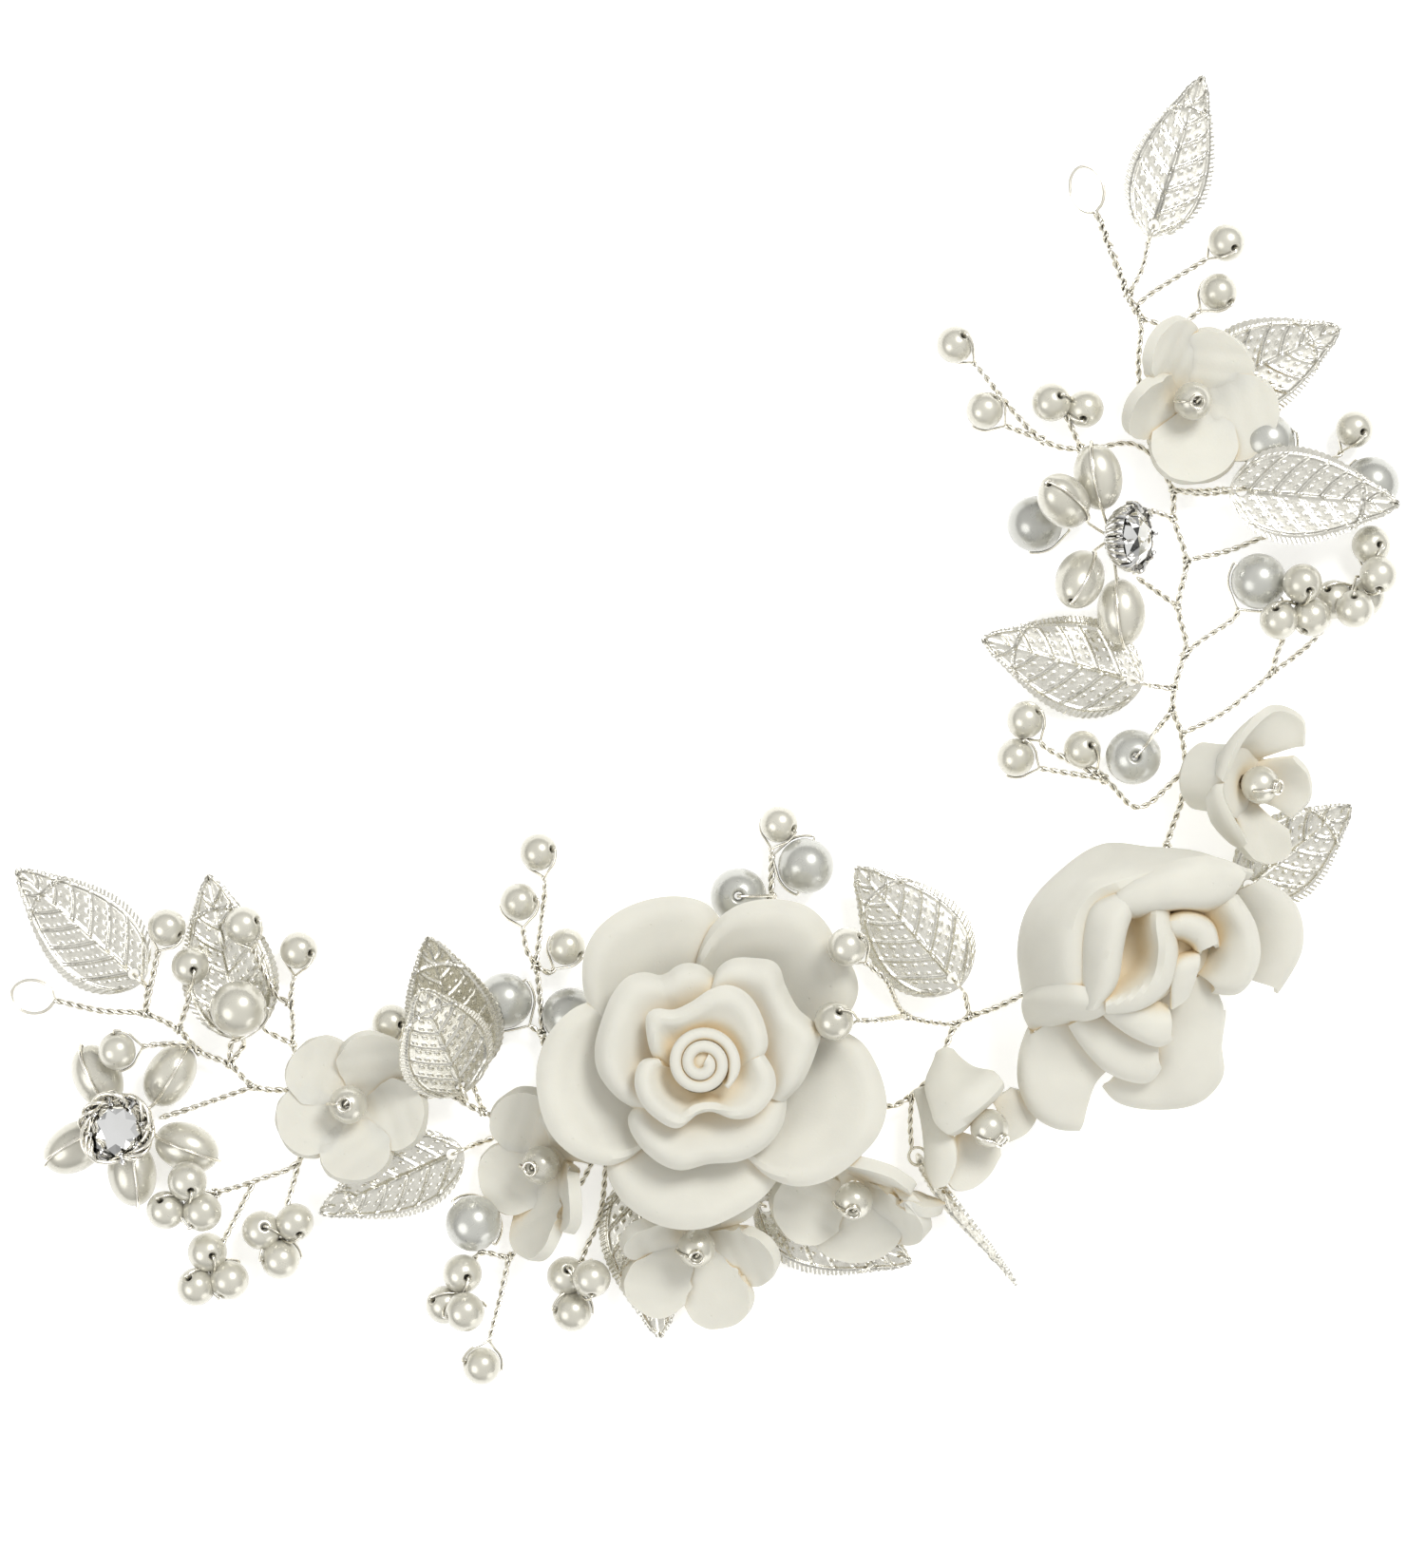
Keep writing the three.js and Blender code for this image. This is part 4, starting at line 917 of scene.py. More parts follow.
def build_flowers():
    for i in range(1, 8):
        flower = FLOWERS.get(i, {"petals": []})
        joint = joints[f"flower_{i}_turn"]
        centre = np.array(joint["pos_m"]) / MM - SHIFT
        normal = unit(joint["axis"])
        turn = facing(normal)
        shape = Shape()
        for key, curves in LYING_FLOWERS.get(i, {}).items():
            shape.add(*rose_petal(f"f{i}_{key}", [seen(c) for c in curves], 1.3, 18, 40, 0.08))
        for azimuth, lift, twist, *size in flower["petals"]:
            length = size[0] if size else flower["length"]
            width = size[1] if len(size) > 1 else flower["width"]
            petal = small_petal(length, width, lift, twist, flower["cup"], flower["fold"], flower["neck"])
            a = np.radians(azimuth)
            about = np.array([[np.cos(a), -np.sin(a), 0], [np.sin(a), np.cos(a), 0], [0, 0, 1]])
            shape.add(petal[0] @ about.T @ turn.T + centre, petal[1])
        shape.add(*placed(lathe(SHANK if i == 6 else BOSS, 40, closed=True), normal, centre))
        piece(f"flower_{i}_petals", shape, CLAY, joint["child"],
              replaces=f"flower_{i}", bevel=0.3)
        spin = joints[f"flower_{i}_pearl_spin"]
        low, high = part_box(f"flower_{i}_pearl")
        seat = (np.array(low) + np.array(high)) / 2 / MM - SHIFT
        ball = Shape().add(*placed(bead(PEARL, bore=0.45), normal, seat))
        piece(f"flower_{i}_bead", ball, IVORY_PEARL, spin["child"],
              replaces=f"flower_{i}_pearl")
        build_post(i, centre, normal, seat)


def build_post(i, centre, normal, seat):
    """The pair that climbs from the stem through a flower and its pearl, and ends in a knot over the bore."""
    route = vecs(FLOWER_ROUTES[i])
    under = centre - normal * (3 if i == 6 else 1.8)  # flower 6 has a shank
    wire = Shape().add_pair([*route, under, centre + normal * 0.5], radius=STRAND * 0.9)
    top = seat + normal * (PEARL + 0.35)
    wire.add(*strand([centre, seat, top - normal * 0.4], STRAND * 0.9))
    u = across([0.6, 0.8, 0.1], normal)
    v = np.cross(normal, u)
    knot = []
    end = 2 * np.pi * 1.35
    for a in np.linspace(0, end, 26):
        knot.append(top + 0.9 * toward(a, u, v) + normal * (0.05 * a - 0.25))
    tail = []
    last = toward(end, u, v)
    for a in np.radians((30, 44, 58, 76)):
        tail.append(seat + (PEARL + 0.28) * toward(a, normal, last))
    wire.add(*strand([top - normal * 0.5, *knot, *tail], STRAND * 0.9, 0.22))
    piece(f"flower_{i}_wire", wire, WIRE_SILVER)


# ---------------------------------------------------------------- roses
def loft(curves, rows, cols):
    """A grid through a few curves: each is resampled along its length, then joined from first to last."""
    lines = np.stack([smooth(c, cols) for c in curves])
    return np.stack([smooth(lines[:, j], rows) for j in range(cols)], axis=1)


def uneven(grid, size, seed):
    """Lifts a grid a little here and there, as fingers leave clay."""
    r = np.random.default_rng(seed)
    g = np.array(grid)
    for _ in range(4):
        k = r.uniform(0.12, 0.42, 2)
        g[:, :, 2] += size * np.sin(g[:, :, 0] * k[0] + g[:, :, 1] * k[1] + r.uniform(0, 6)) / 2
    return g


def rose_petal(name, curves, thick, rows=24, cols=76, rough=0.16):
    """A clay petal through curves given from its base to its rim, a little thinner at the rim."""
    grid = uneven(loft(curves, rows, cols), rough, sum(map(ord, name)))
    t = np.linspace(0, 1, rows)[:, None]
    u = np.linspace(-1, 1, cols)
    return sheet(grid, thick * (1.15 - 0.25 * t) * (1 - 0.45 * u**8))


def arc(radius, start, stop, z):
    """Seven points round Z, from one bearing to another."""
    return [[radius * np.cos(a), radius * np.sin(a), z] for a in np.radians(np.linspace(start, stop, 7))]


def between(inner, outer, share, z):
    """A curve a share of the way out from an inner curve to an outer one, and z of the way up."""
    a, b = smooth(inner, 24), smooth(outer, 24)
    return a + (b - a) * [share, share, z]


# Rims of rose 1's petals about its middle, from one end to the other, as they look from above; the third
# number is the height.
ROSE_1_OUTER = {
    "a": [(-12.4, 4.4, 13.4), (-14.1, 7.1, 14.2), (-15, 10.5, 15), (-14.8, 14.2, 15.6),
          (-13.1, 17.4, 15.9), (-9.2, 20.1, 15.7), (-3.5, 21.3, 15), (0.6, 20.2, 14), (2.4, 17.4, 13),
          (2.6, 14, 12.6)],
    "b": [(-0.6, 11.8, 14.6), (0.5, 15, 15.4), (2.0, 17.7, 15.7), (5, 20.1, 16.2), (9.6, 20.9, 16.6),
          (13.8, 20, 16.6), (16.3, 17.6, 16), (17.7, 14.6, 15.5), (19.6, 12, 15.5), (20.1, 9.2, 15),
          (18.6, 6.2, 14.2), (15, 3.4, 13.6)],
    "c": [(14.2, 3.4, 15), (17.8, 3.7, 15.5), (20.8, 2.2, 15.8), (22.7, -0.8, 15.8), (23.7, -3.8, 15.9),
          (23.9, -6.2, 16), (22.9, -9.3, 16.1), (20.2, -12.4, 16.2), (16.6, -15, 16.2), (12.9, -15.8, 16),
          (9.4, -14.8, 15.5), (6.0, -12.1, 14.9)],
    "d": [(9.4, -9.6, 12.6), (10.2, -13.2, 13), (8.6, -16.5, 13.6), (5, -19.3, 14.2), (-0.4, -21.4, 14.6),
          (-5.6, -20.8, 14.6), (-10.1, -17.7, 14.2), (-11.8, -14.1, 13.4), (-10.6, -10.2, 12.8)],
    "e": [(-7.4, -10.6, 14.8), (-10.1, -12.4, 15.2), (-12.5, -13, 15.4), (-16.2, -12, 15.8),
          (-19.3, -9.2, 16), (-20.8, -5.3, 15.9), (-21.1, -0.8, 15.6), (-19.8, 3.0, 15.2),
          (-17.1, 6.1, 14.6), (-14.2, 7.4, 13.8), (-11.4, 6.6, 13.2)],
}
ROSE_1_MIDDLE = {
    "left": [(-7.2, -6.2, 18.2), (-10.4, -4.3, 18.9), (-12.8, -1.2, 19.3), (-13.2, 1.8, 19.5),
             (-12.3, 5.4, 19.7), (-11, 8.5, 19.8), (-9.3, 10.5, 19.8), (-7.4, 11.0, 19.6),
             (-5.4, 10.6, 19.3), (-4.1, 11.0, 19.6), (-2.4, 12.1, 19.8), (-0.3, 12, 19.5),
             (2, 10.2, 18.8)],
    "right": [(1.6, 9.6, 19.6), (2.6, 11.7, 20.1), (4.2, 12.8, 20.4), (6.8, 12.9, 20.5),
              (9.4, 12.4, 20.5), (10.4, 9.8, 20.2), (12.1, 6.6, 20.1), (14.9, 3.9, 20.6),
              (14.5, 1.8, 20.3), (12.7, -2.3, 19.8), (10.4, -5.0, 19)],
    "lower": [(10.8, -3.6, 18.0), (10.0, -8, 18.6), (8.1, -10.6, 19), (5, -12.3, 19.2),
              (0.8, -12.7, 19.1), (-2.8, -13.5, 19.4), (-5.4, -12.5, 19.2), (-8, -9.9, 18.8),
              (-8.9, -7.3, 18.2), (-7.4, -5.2, 17.6)],
}
ROSE_1_INNER = {
    "upper": [(-5.2, -0.6, 19.4), (-6.4, 2.7, 21.9), (-6.4, 6.3, 22.8), (-3.5, 6.3, 22.9),
              (-1, 7.4, 23.1), (1.4, 9, 23.4), (3.5, 9.6, 23.5), (5.6, 8.7, 23.3), (7.3, 6.2, 23),
              (8.2, 2.3, 22.5), (7.2, 0.4, 21.6), (5.6, -1.6, 19.6)],
    "lower": [(7.9, 0.9, 22.3), (9.2, -1.7, 22.2), (9.1, -3.9, 22), (6.8, -6.5, 22.2), (4.4, -6.9, 22.1),
              (1.4, -5.9, 21.8), (-0.7, -6.3, 22), (-3.2, -8.1, 22.5), (-5.4, -7.1, 22.3),
              (-7.4, -5.1, 22.2), (-8.2, -2.6, 22.2), (-7.5, -0.2, 22.2), (-5.6, 0.2, 22)],
}


def droop(rim, middle, out, down):
    """The rolled lip of a petal: its rim carried a little further out from the middle, and down."""
    pts = np.array(rim, float)
    away = pts[:, :2] - middle[:2]
    pts[:, :2] += away / np.linalg.norm(away, axis=1)[:, None] * out
    pts[:, 2] -= down
    return pts


# Each ring's base radius and height, then how far out and how high its petals' curves run, then the lip.
ROSE_1_RINGS = {
    "outer": (ROSE_1_OUTER, 4.2, 12.0, [(0.42, 0.22), (0.75, 0.72), (0.93, 1.0)], (0.25, 0.7), 1.3, 0.2),
    "middle": (ROSE_1_MIDDLE, 4.6, 16.2, [(0.3, 0.4), (0.62, 0.86), (0.88, 1.05)], (0.3, 1.5), 1.35, 0.16),
    "inner": (ROSE_1_INNER, 3.7, 19.2, [(0.26, 0.3), (0.6, 0.8), (0.86, 1.05)], (0.15, 0.7), 1.25, 0.1),
}


def build_rose_1():
    for ring, (rims, radius, height, curves, lip, thick, rough) in ROSE_1_RINGS.items():
        for key, flat in rims.items():
            rim = seen(np.array(flat) + ROSE_1)
            bearing = np.degrees(np.unwrap([np.arctan2(y, x) for x, y, _ in flat]))
            base = np.array(arc(radius, bearing[0], bearing[-1], height)) + ROSE_1
            steps = [between(base, rim, share, z) for share, z in curves]
            grid = [base, *steps, droop(rim, ROSE_1, *lip)]
            shape = Shape().add(*rose_petal(f"{ring}_{key}", grid, thick, rough=rough))
            piece(f"rose_1_{ring}_{key}", shape, CLAY,
                  replaces=f"rose_1_{ring}_petals", bevel=0.55)
    base = lathe([[0.01, 0], [7.3, 0], [7.9, 1.2], [8.1, 5], [7.2, 9], [5, 11.6], [0.01, 12.2]], 48)
    piece("rose_1_base", Shape().add(*placed(base, [0, 0, 1], ROSE_1)), CLAY,
          replaces="rose_1_outer_petals")
    foot = seen([ROSE_1 + [0.1, -0.2, 25]])[0] - [0, 0, 8.6]
    core = lathe([[0.01, 0], [3.4, 0], [3.4, 5], [1.3, 7.2], [0.01, 7.4]], 32)
    bud = rolled_bud(height=8.6, radius=4.35, turns=2.25, end_angle=-44, wall=1.56)
    roll = Shape().add(*bud).add(*core)
    roll.verts = [v + foot for v in roll.verts]
    piece("rose_1_roll", roll, CLAY, replaces="rose_1_bud")


def rolled_bud(height, radius, turns, end_angle, wall):
    """A strip of clay rolled up tight round Z, its top edge rounded and rising towards the middle."""
    s = np.linspace(0, 1, 230)
    over = np.radians(np.linspace(0, 86, 9))[:, None]
    angle = np.radians(end_angle) + 2 * np.pi * turns * (1 - s)
    r = 0.74 + (radius - 0.74) * s
    brow = height * (1 - 0.1 * s**1.4) - 0.22 * np.sin(angle * 1.5) * s - wall / 2
    rise = np.linspace(0, 1, 8)[:, None]
    z = np.vstack([brow * rise, (brow + wall / 2 * np.sin(over))[1:]])
    share = np.vstack([rise + 0 * s, 1 + 0 * over[1:] + 0 * s])
    flare = r * (0.84 + 0.16 * share**2)
    blunt = np.clip((1 - s) / 0.045, 0.25, 1) ** 0.5
    thick = wall * np.vstack([1 + 0 * rise, np.cos(over)[1:]]) * blunt
    return sheet(np.stack([flare * np.cos(angle), flare * np.sin(angle), z], axis=2), thick)


# Rose 2 leans towards the lower right. Its petals' curves run from base to rim and over it, as they look
# from above; the third number is the height.
ROSE_2_FOOT = np.array([51.6, -27.8, 0])
ROSE_2_AXIS = unit([0.42, -0.42, 0.8])
ROSE_2_AT = np.array([51, -27.4, 3.4])
OUTER_2, INNER_2, BUD_2 = "rose_2_outer_petals", "rose_2_inner_petals", "rose_2_bud"
ROSE_2_PETALS = {
    "back": (OUTER_2, 1.3, [
        [(50, -36, 5), (50, -30, 5), (52, -25, 5), (57, -23, 5), (65, -24, 5)],
        [(42.2, -36.2, 9.5), (41.7, -32.4, 9.5), (41.4, -28.5, 10), (42.6, -23.8, 10.5),
         (46.3, -19.4, 11), (51.8, -15.7, 11.5), (58.2, -16.1, 12.5), (64, -16.7, 13.5),
         (70.6, -19, 14.5)],
        [(44.4, -36, 16.5), (43.6, -31, 17), (43.9, -26, 17.5), (45.6, -22.4, 18), (49, -19.2, 18.5),
         (53, -17.5, 19), (58, -17.3, 19.5), (64, -17, 19.5), (70.8, -18.6, 18)],
        [(48.5, -35.4, 21), (47.8, -31, 22), (47.9, -26.5, 22.8), (48.9, -23.3, 23.4), (51, -20.6, 23.8),
         (54.4, -20.2, 24.2), (58, -19.4, 24.4), (64.5, -17.9, 23.8), (71.6, -18.7, 20.5)],
        [(50.6, -35.2, 20.3), (50.2, -31, 21.2), (50.4, -27, 21.8), (51.2, -24.4, 22.2),
         (53, -22.4, 22.4), (56, -21.4, 22.8), (59.5, -20.4, 23), (65, -19, 22.4), (70.8, -19.4, 19.6)]]),
    "back_tip": (OUTER_2, 1.3, [
        [(42.4, -34.2, 12), (44.6, -33.6, 17.4), (48.2, -33.4, 21.6), (52.2, -34.4, 22)],
        [(41.5, -35.8, 13), (44.2, -35.4, 18.2), (48.4, -35.2, 21.8), (52.4, -35.4, 22.2)],
        [(41.6, -37.4, 12.8), (45, -37, 16.6), (48.8, -36.6, 20), (52.4, -36.1, 21.6)],
        [(42.4, -39.3, 11.6), (46.8, -38, 14.8), (50.1, -37.6, 17.9), (52.4, -36.8, 20.2)]]),
    "top_lip": (INNER_2, 1.05, [
        [(53.6, -21.2, 23.6), (57.9, -19.3, 24.8), (61.7, -17.4, 24.9), (66.2, -16.9, 23.4),
         (70.6, -18.4, 20.2)],
        [(54, -22.4, 25.2), (58, -20.6, 26.4), (61.7, -19, 26.7), (66, -18.4, 25.2), (70.4, -19.4, 21.8)],
        [(54.6, -23.7, 24.8), (58.2, -22.6, 25.8), (61.7, -21.9, 26), (65.3, -21.9, 24.4),
         (69.2, -21.2, 21.2)],
        [(56.2, -24.6, 16), (58.8, -24.2, 17), (61.7, -23.7, 17.4), (64.6, -23.9, 16.4),
         (67.8, -23.4, 15)]]),
    "left_cup": (INNER_2, 1.05, [
        [(53.4, -21.4, 20.2), (49.6, -23, 19.4), (48.4, -27, 18.6), (48.2, -31, 18), (48.4, -36.2, 17.2)],
        [(53.8, -21.7, 24.5), (51.2, -23.6, 24.2), (50.4, -27.4, 23.8), (50.1, -31.6, 23),
         (49.4, -36.6, 20.8)],
        [(55, -22.6, 25.7), (53.7, -24.8, 26.1), (52.9, -28.4, 25.9), (52.1, -32.6, 24.9),
         (50.6, -36.6, 22.2)],
        [(55.6, -23.4, 24.8), (54.6, -25.6, 25), (53.9, -29, 24.6), (53.3, -32.8, 23.4),
         (51.6, -36, 21.2)],
        [(55.2, -24, 19), (54, -26.2, 18.6), (53.3, -29.2, 18.4), (52.8, -32.2, 18.6), (51.8, -35, 19)]]),
    "heart": (INNER_2, 0.95, [
        [(54.6, -23.4, 18.4), (54, -26.4, 17.8), (53.6, -29.2, 17.6), (53.2, -31.6, 18),
         (52.6, -33.2, 18.8), (51.6, -34.4, 19.6)],
        [(56.4, -23, 19.6), (56.2, -26, 18.8), (56.4, -29, 18.4), (55.6, -31.4, 18.8), (54, -33.2, 19.6),
         (52, -34.8, 20.6)],
        [(58, -23, 23.2), (58.2, -25.6, 23), (58.9, -28.9, 22.6), (58.2, -31.6, 22.2), (55.5, -34, 22),
         (52.3, -35.4, 22)],
        [(58.6, -22.9, 24.6), (59, -25.6, 24.6), (59.8, -29, 24.2), (59, -32.3, 23.8),
         (56.1, -34.8, 23.3), (52.2, -36, 22.8)],
        [(59.8, -22.9, 23.6), (60.3, -25.6, 23.4), (61, -29.2, 22.8), (60.1, -33.1, 22.4),
         (56.8, -35.9, 21.8), (52.2, -36.8, 21.4)],
        [(60.4, -23.6, 18), (61, -26, 18), (61.6, -29.4, 17.4), (60.8, -33.4, 17), (57.3, -36.2, 17.2),
         (52.8, -37.1, 17.6)]]),
    "strip": (BUD_2, 1.05, [
        [(60.6, -27.2, 18), (62.3, -27.4, 17.6), (63.8, -28.4, 17.2), (64.4, -29.6, 17)],
        [(60.2, -26.5, 22.2), (62.4, -26.2, 22.6), (64.3, -27.2, 22.2), (65, -28.8, 21.4)],
        [(60.1, -25.2, 22.9), (62.8, -24.7, 23.3), (65.4, -26, 22.9), (66.3, -28.2, 22)],
        [(60, -24.6, 17.6), (62.9, -23.7, 17.6), (66, -25.4, 17.4), (67, -28.6, 17)]]),
    "flap": (BUD_2, 1.05, [
        [(61.2, -29.6, 16.6), (62.6, -29.2, 16.6), (64.2, -29, 16.4)],
        [(60.8, -31.1, 21.4), (62.6, -30.5, 21.7), (64.6, -30, 21.1)],
        [(60.8, -33.4, 21), (62.4, -32.7, 21.2), (64.1, -31.9, 20.4)],
        [(60.8, -36.5, 18.6), (62, -35.6, 18.9), (63.1, -34.5, 18.2)]]),
    "right_inner": (INNER_2, 1.05, [
        [(62.4, -23.8, 16), (65.6, -25.2, 16), (66.6, -28, 15.8), (65.6, -30.6, 15.6), (64.2, -32, 15.4)],
        [(65.6, -22.6, 19), (68.6, -25.6, 18.8), (69, -29, 18.2), (67.8, -32, 17.6), (65.6, -32.8, 16.8)],
        [(68.4, -21.7, 20.6), (70.8, -26, 19.9), (71.2, -30.2, 18.9), (69.4, -33.4, 17.9),
         (66.6, -33.6, 17)],
        [(69.4, -21.6, 18.8), (71.7, -26, 18), (72, -30.4, 17), (69.7, -34.1, 16), (66.2, -34.3, 15.2)]]),
    "right_outer": (OUTER_2, 1.3, [
        [(66.5, -22.5, 12.4), (68.5, -25, 12.4), (69, -28, 12), (69, -31.5, 11.4)],
        [(70, -20.8, 14.8), (73, -24, 14.6), (73.4, -28, 14), (71.6, -32.8, 12.8)],
        [(72.2, -19.8, 15), (76.2, -23.4, 14.7), (77, -28, 14), (74.4, -33.8, 12.4)],
        [(72.5, -19.4, 14), (76.9, -23.2, 13.6), (77.7, -28.2, 12.8), (74.6, -34.5, 11.4)]]),
    "lower_right": (OUTER_2, 1.3, [
        [(67, -30.6, 14.4), (63.4, -32.6, 15), (60.2, -34.4, 15), (56.6, -35.6, 14.4)],
        [(67, -34.4, 14.4), (65.4, -38.6, 13.6), (61, -41.2, 13.2), (55.4, -41.6, 12.8)],
        [(67.4, -36, 13.4), (66.4, -42, 12.2), (61, -45.8, 11.8), (54, -44.6, 11.6)],
        [(67.4, -36.5, 12.9), (66.5, -41.2, 11.9), (66.7, -44.8, 11.2), (64, -47.7, 10.8),
         (58.8, -48.6, 10.7), (54.4, -47.8, 10.9), (52.6, -46.2, 11)],
        [(67.8, -36.7, 12.1), (67.1, -41.3, 11), (67.2, -45.3, 10.2), (64.4, -48.5, 9.8),
         (58.8, -49.4, 9.7), (54, -48.5, 9.9), (51.9, -46.6, 10.1)]]),
    "lower_middle": (OUTER_2, 1.3, [
        [(59, -38, 14.8), (56.6, -38, 15.2), (53.8, -37, 15.6), (51.6, -35.8, 15.8)],
        [(59.2, -40.6, 15.6), (56.4, -41.2, 15.6), (52.8, -39.8, 16), (49.8, -37.2, 16.6)],
        [(59.2, -43.4, 15.4), (57.6, -45, 15.2), (53.2, -43.9, 15.3), (50.9, -41.8, 15.7),
         (48.2, -38.2, 16.8)],
        [(59.5, -44.2, 14.2), (57.6, -45.9, 13.9), (52.9, -44.7, 14), (50.3, -42.4, 14.5),
         (47.4, -38.6, 15.8)]]),
    "lower_lip": (INNER_2, 1.05, [
        [(60.4, -36.2, 17.4), (57.8, -35.6, 17.8), (55, -34.8, 18.6), (52.6, -34.6, 19.7)],
        [(60.9, -38.2, 19), (58.2, -38, 19.3), (55.2, -36.7, 19.9), (52.6, -35.8, 20.4)],
        [(60.8, -39.8, 18.6), (59.2, -40.5, 18.7), (56.6, -39.5, 19.1), (54.4, -38.1, 19.5),
         (52.3, -36.5, 20)],
        [(61, -40.5, 17.4), (59.2, -41.2, 17.4), (56.3, -40.2, 17.8), (53.9, -38.7, 18.3),
         (51.8, -37.1, 19)]]),
    "lower_left": (OUTER_2, 1.3, [
        [(53.6, -43.6, 12), (51.4, -41.4, 12.4), (48.8, -39, 13), (46, -37.2, 13.6)],
        [(51, -46.2, 12), (48, -45, 12.2), (45.6, -42.4, 12.8), (43.8, -38.9, 13.4)],
        [(49.9, -49, 11.4), (46.8, -48.4, 11.6), (43.9, -45.4, 12.2), (42.6, -39.8, 13)],
        [(49.2, -51.7, 10.6), (45.9, -51.1, 10.7), (43.4, -49.5, 10.9), (41.9, -46.4, 11.4),
         (41.8, -43, 11.9), (42.6, -39.6, 12.6)],
        [(48.8, -52.4, 9.8), (45.5, -51.8, 9.7), (42.8, -50, 9.9), (41.2, -46.6, 10.4), (41.2, -42.8, 11),
         (42.2, -39, 11.8)]]),
}


def build_rose_2():
    for key, (node_name, thick, curves) in ROSE_2_PETALS.items():
        shape = Shape().add(*rose_petal(f"r2_{key}", [seen(c) for c in curves], thick, rows=30))
        piece(f"rose_2_{key}", shape, CLAY, replaces=node_name, bevel=0.5)
    base = lathe([[0.01, 0.1], [5.8, 0.1], [6.6, 1.2], [7, 3], [6.4, 4.6], [4.4, 6.6], [0.01, 7.2]], 44)
    core = lathe([[0.01, 0.8], [4.5, 1.4], [7.4, 4], [9, 7.5], [8.6, 10.4], [5, 11.6], [0.01, 11.8]], 44)
    heart = lathe([[0.01, 0], [5, 0], [5.6, 9], [4.8, 15], [3.8, 18.4], [0.01, 19.2]], 40)
    plug = lathe([[0.01, -4], [2.6, -3.4], [4.2, 0], [3.6, 2.8], [0.01, 4.4]], 32)
    clay = Shape().add(*placed(base, [0, 0, 1], ROSE_2_FOOT)).add(*placed(core, ROSE_2_AXIS, ROSE_2_AT))
    clay.add(*placed(heart, [10.8, -0.8, 15.6], ROSE_2_AT))
    clay.add(*placed(plug, [0, 0, 1], vec((63.6, -31.4, 11))))
    piece("rose_2_base", clay, CLAY, replaces=OUTER_2)


# ---------------------------------------------------------------- rhinestone flowers
# The pearls round each stone: the middle, and the way an oval one points; the round one has none.
RHINESTONES = {
    1: [([-80.8, -45.6, 3.4], [-0.5, 1, 0]), ([-71.2, -45.5, 3.4], [0.6, 1, 0]), ([-83.8, -55, 3.4],
                                                                                  [-1, -0.6, 0]),
                  ([-76.2, -58.4, 3.4], [0.15, -1, 0]), ([-69, -55, 3.4], [1, -0.4, 0])],
    2: [([51, 33.2, 8.4], [-0.2, 1, 0.2]), ([46.3, 29.9, 11], [-0.5, 0.5, 0.7]), ([43.1, 27.4, 3.7], None),
                  ([48.6, 19.8, 8.6], [-0.3, -0.7, 0.6]), ([54.3, 15.6, 5.9], [0.1, -1, 0])],
}
# Where each cup stands, and the way it faces.
CUPS = {1: ([-77.3, -52, 6.7], [0, 0, 1]), 2: ([53.1, 25.3, 6.2], [0.84, 0, 0.54])}


def cup_body():
    """A ribbed cup, closed on itself: up the outside, over the rim and down the inside."""
    outside = [[0.01, 0], [2.2, 0.05], [3.2, 0.35], [3.95, 1.2], [4.5, 2.3], [4.68, 3.2], [4.6, 3.75]]
    inside = [[4.25, 3.7], [4.15, 2.9], [3.2, 1.6], [1.2, 0.75], [0.01, 0.6]]

    def flute(a, share):
        ribs = np.abs(np.sin(10 * a)) ** 0.7
        return 1 - 0.14 * (1 - ribs) * (0.1 < share < 0.62)

    return lathe(outside + inside, 192, flute)


def stone_body():
    """A round brilliant: a flat table, a ring of kites, a girdle, and a pointed back."""
    # Each ring of corners, from the table down: radius, height, and turn in steps.
    rings = [(1.9, 4.72, 0), (2.85, 4.35, 0.5), (3.7, 3.5, 0), (3.7, 3.25, 0), (2.0, 2.1, 0.5),
             (0.02, 1.3, 0)]
    sides = 8
    verts, faces = [[0.1, -0.15, 4.95]], []
    for r, z, shift in rings:
        for k in range(sides):
            a = 2 * np.pi * (k + shift) / sides
            verts.append([r * np.cos(a), r * np.sin(a), z])

    def at(ring, k):
        """The number of a corner."""
        return 1 + ring * sides + k % sides

    for k in range(sides):
        faces.append([0, at(0, k), at(0, k + 1)])
        faces += [[at(0, k), at(1, k), at(0, k + 1)], [at(1, k), at(2, k + 1), at(0, k + 1)]]
        faces += [[at(0, k), at(2, k), at(1, k)], [at(1, k), at(2, k), at(2, k + 1)]]
        faces.append([at(2, k), at(3, k), at(3, k + 1), at(2, k + 1)])
        faces += [[at(3, k), at(4, k), at(3, k + 1)], [at(4, k), at(4, k + 1), at(3, k + 1)]]
        faces.append([at(4, k), at(5, k), at(5, k + 1), at(4, k + 1)])
    faces.append([at(5, k) for k in range(sides)][::-1])
    return np.array(verts, float), faces


def claw(angle):
    """A small prong bent over the stone's edge."""
    path = []
    for r, z in ((4.62, 2.6), (4.62, 3.5), (4.35, 4.15), (3.75, 4.4), (3.3, 4.75)):
        path.append([r * np.cos(angle), r * np.sin(angle), z])
    return strand(path, 0.3, 0.25, 8)


def binding_body(centre):
    """Four loops of wire wound wavily round the rim of a cup that faces up."""
    shape = Shape()
    a = np.linspace(0, 2 * np.pi, 40)
    for k in range(4):
        r = 4.25 + 0.65 * np.sin((k + 2) * a + 1.9 * k)
        z = 4.1 + 0.75 * np.sin((k + 2) * a + 0.8 + 2.1 * k)
        shape.add(*strand(np.stack([r * np.cos(a), r * np.sin(a), z], axis=1) + centre, 0.26, 0.3))
    return shape


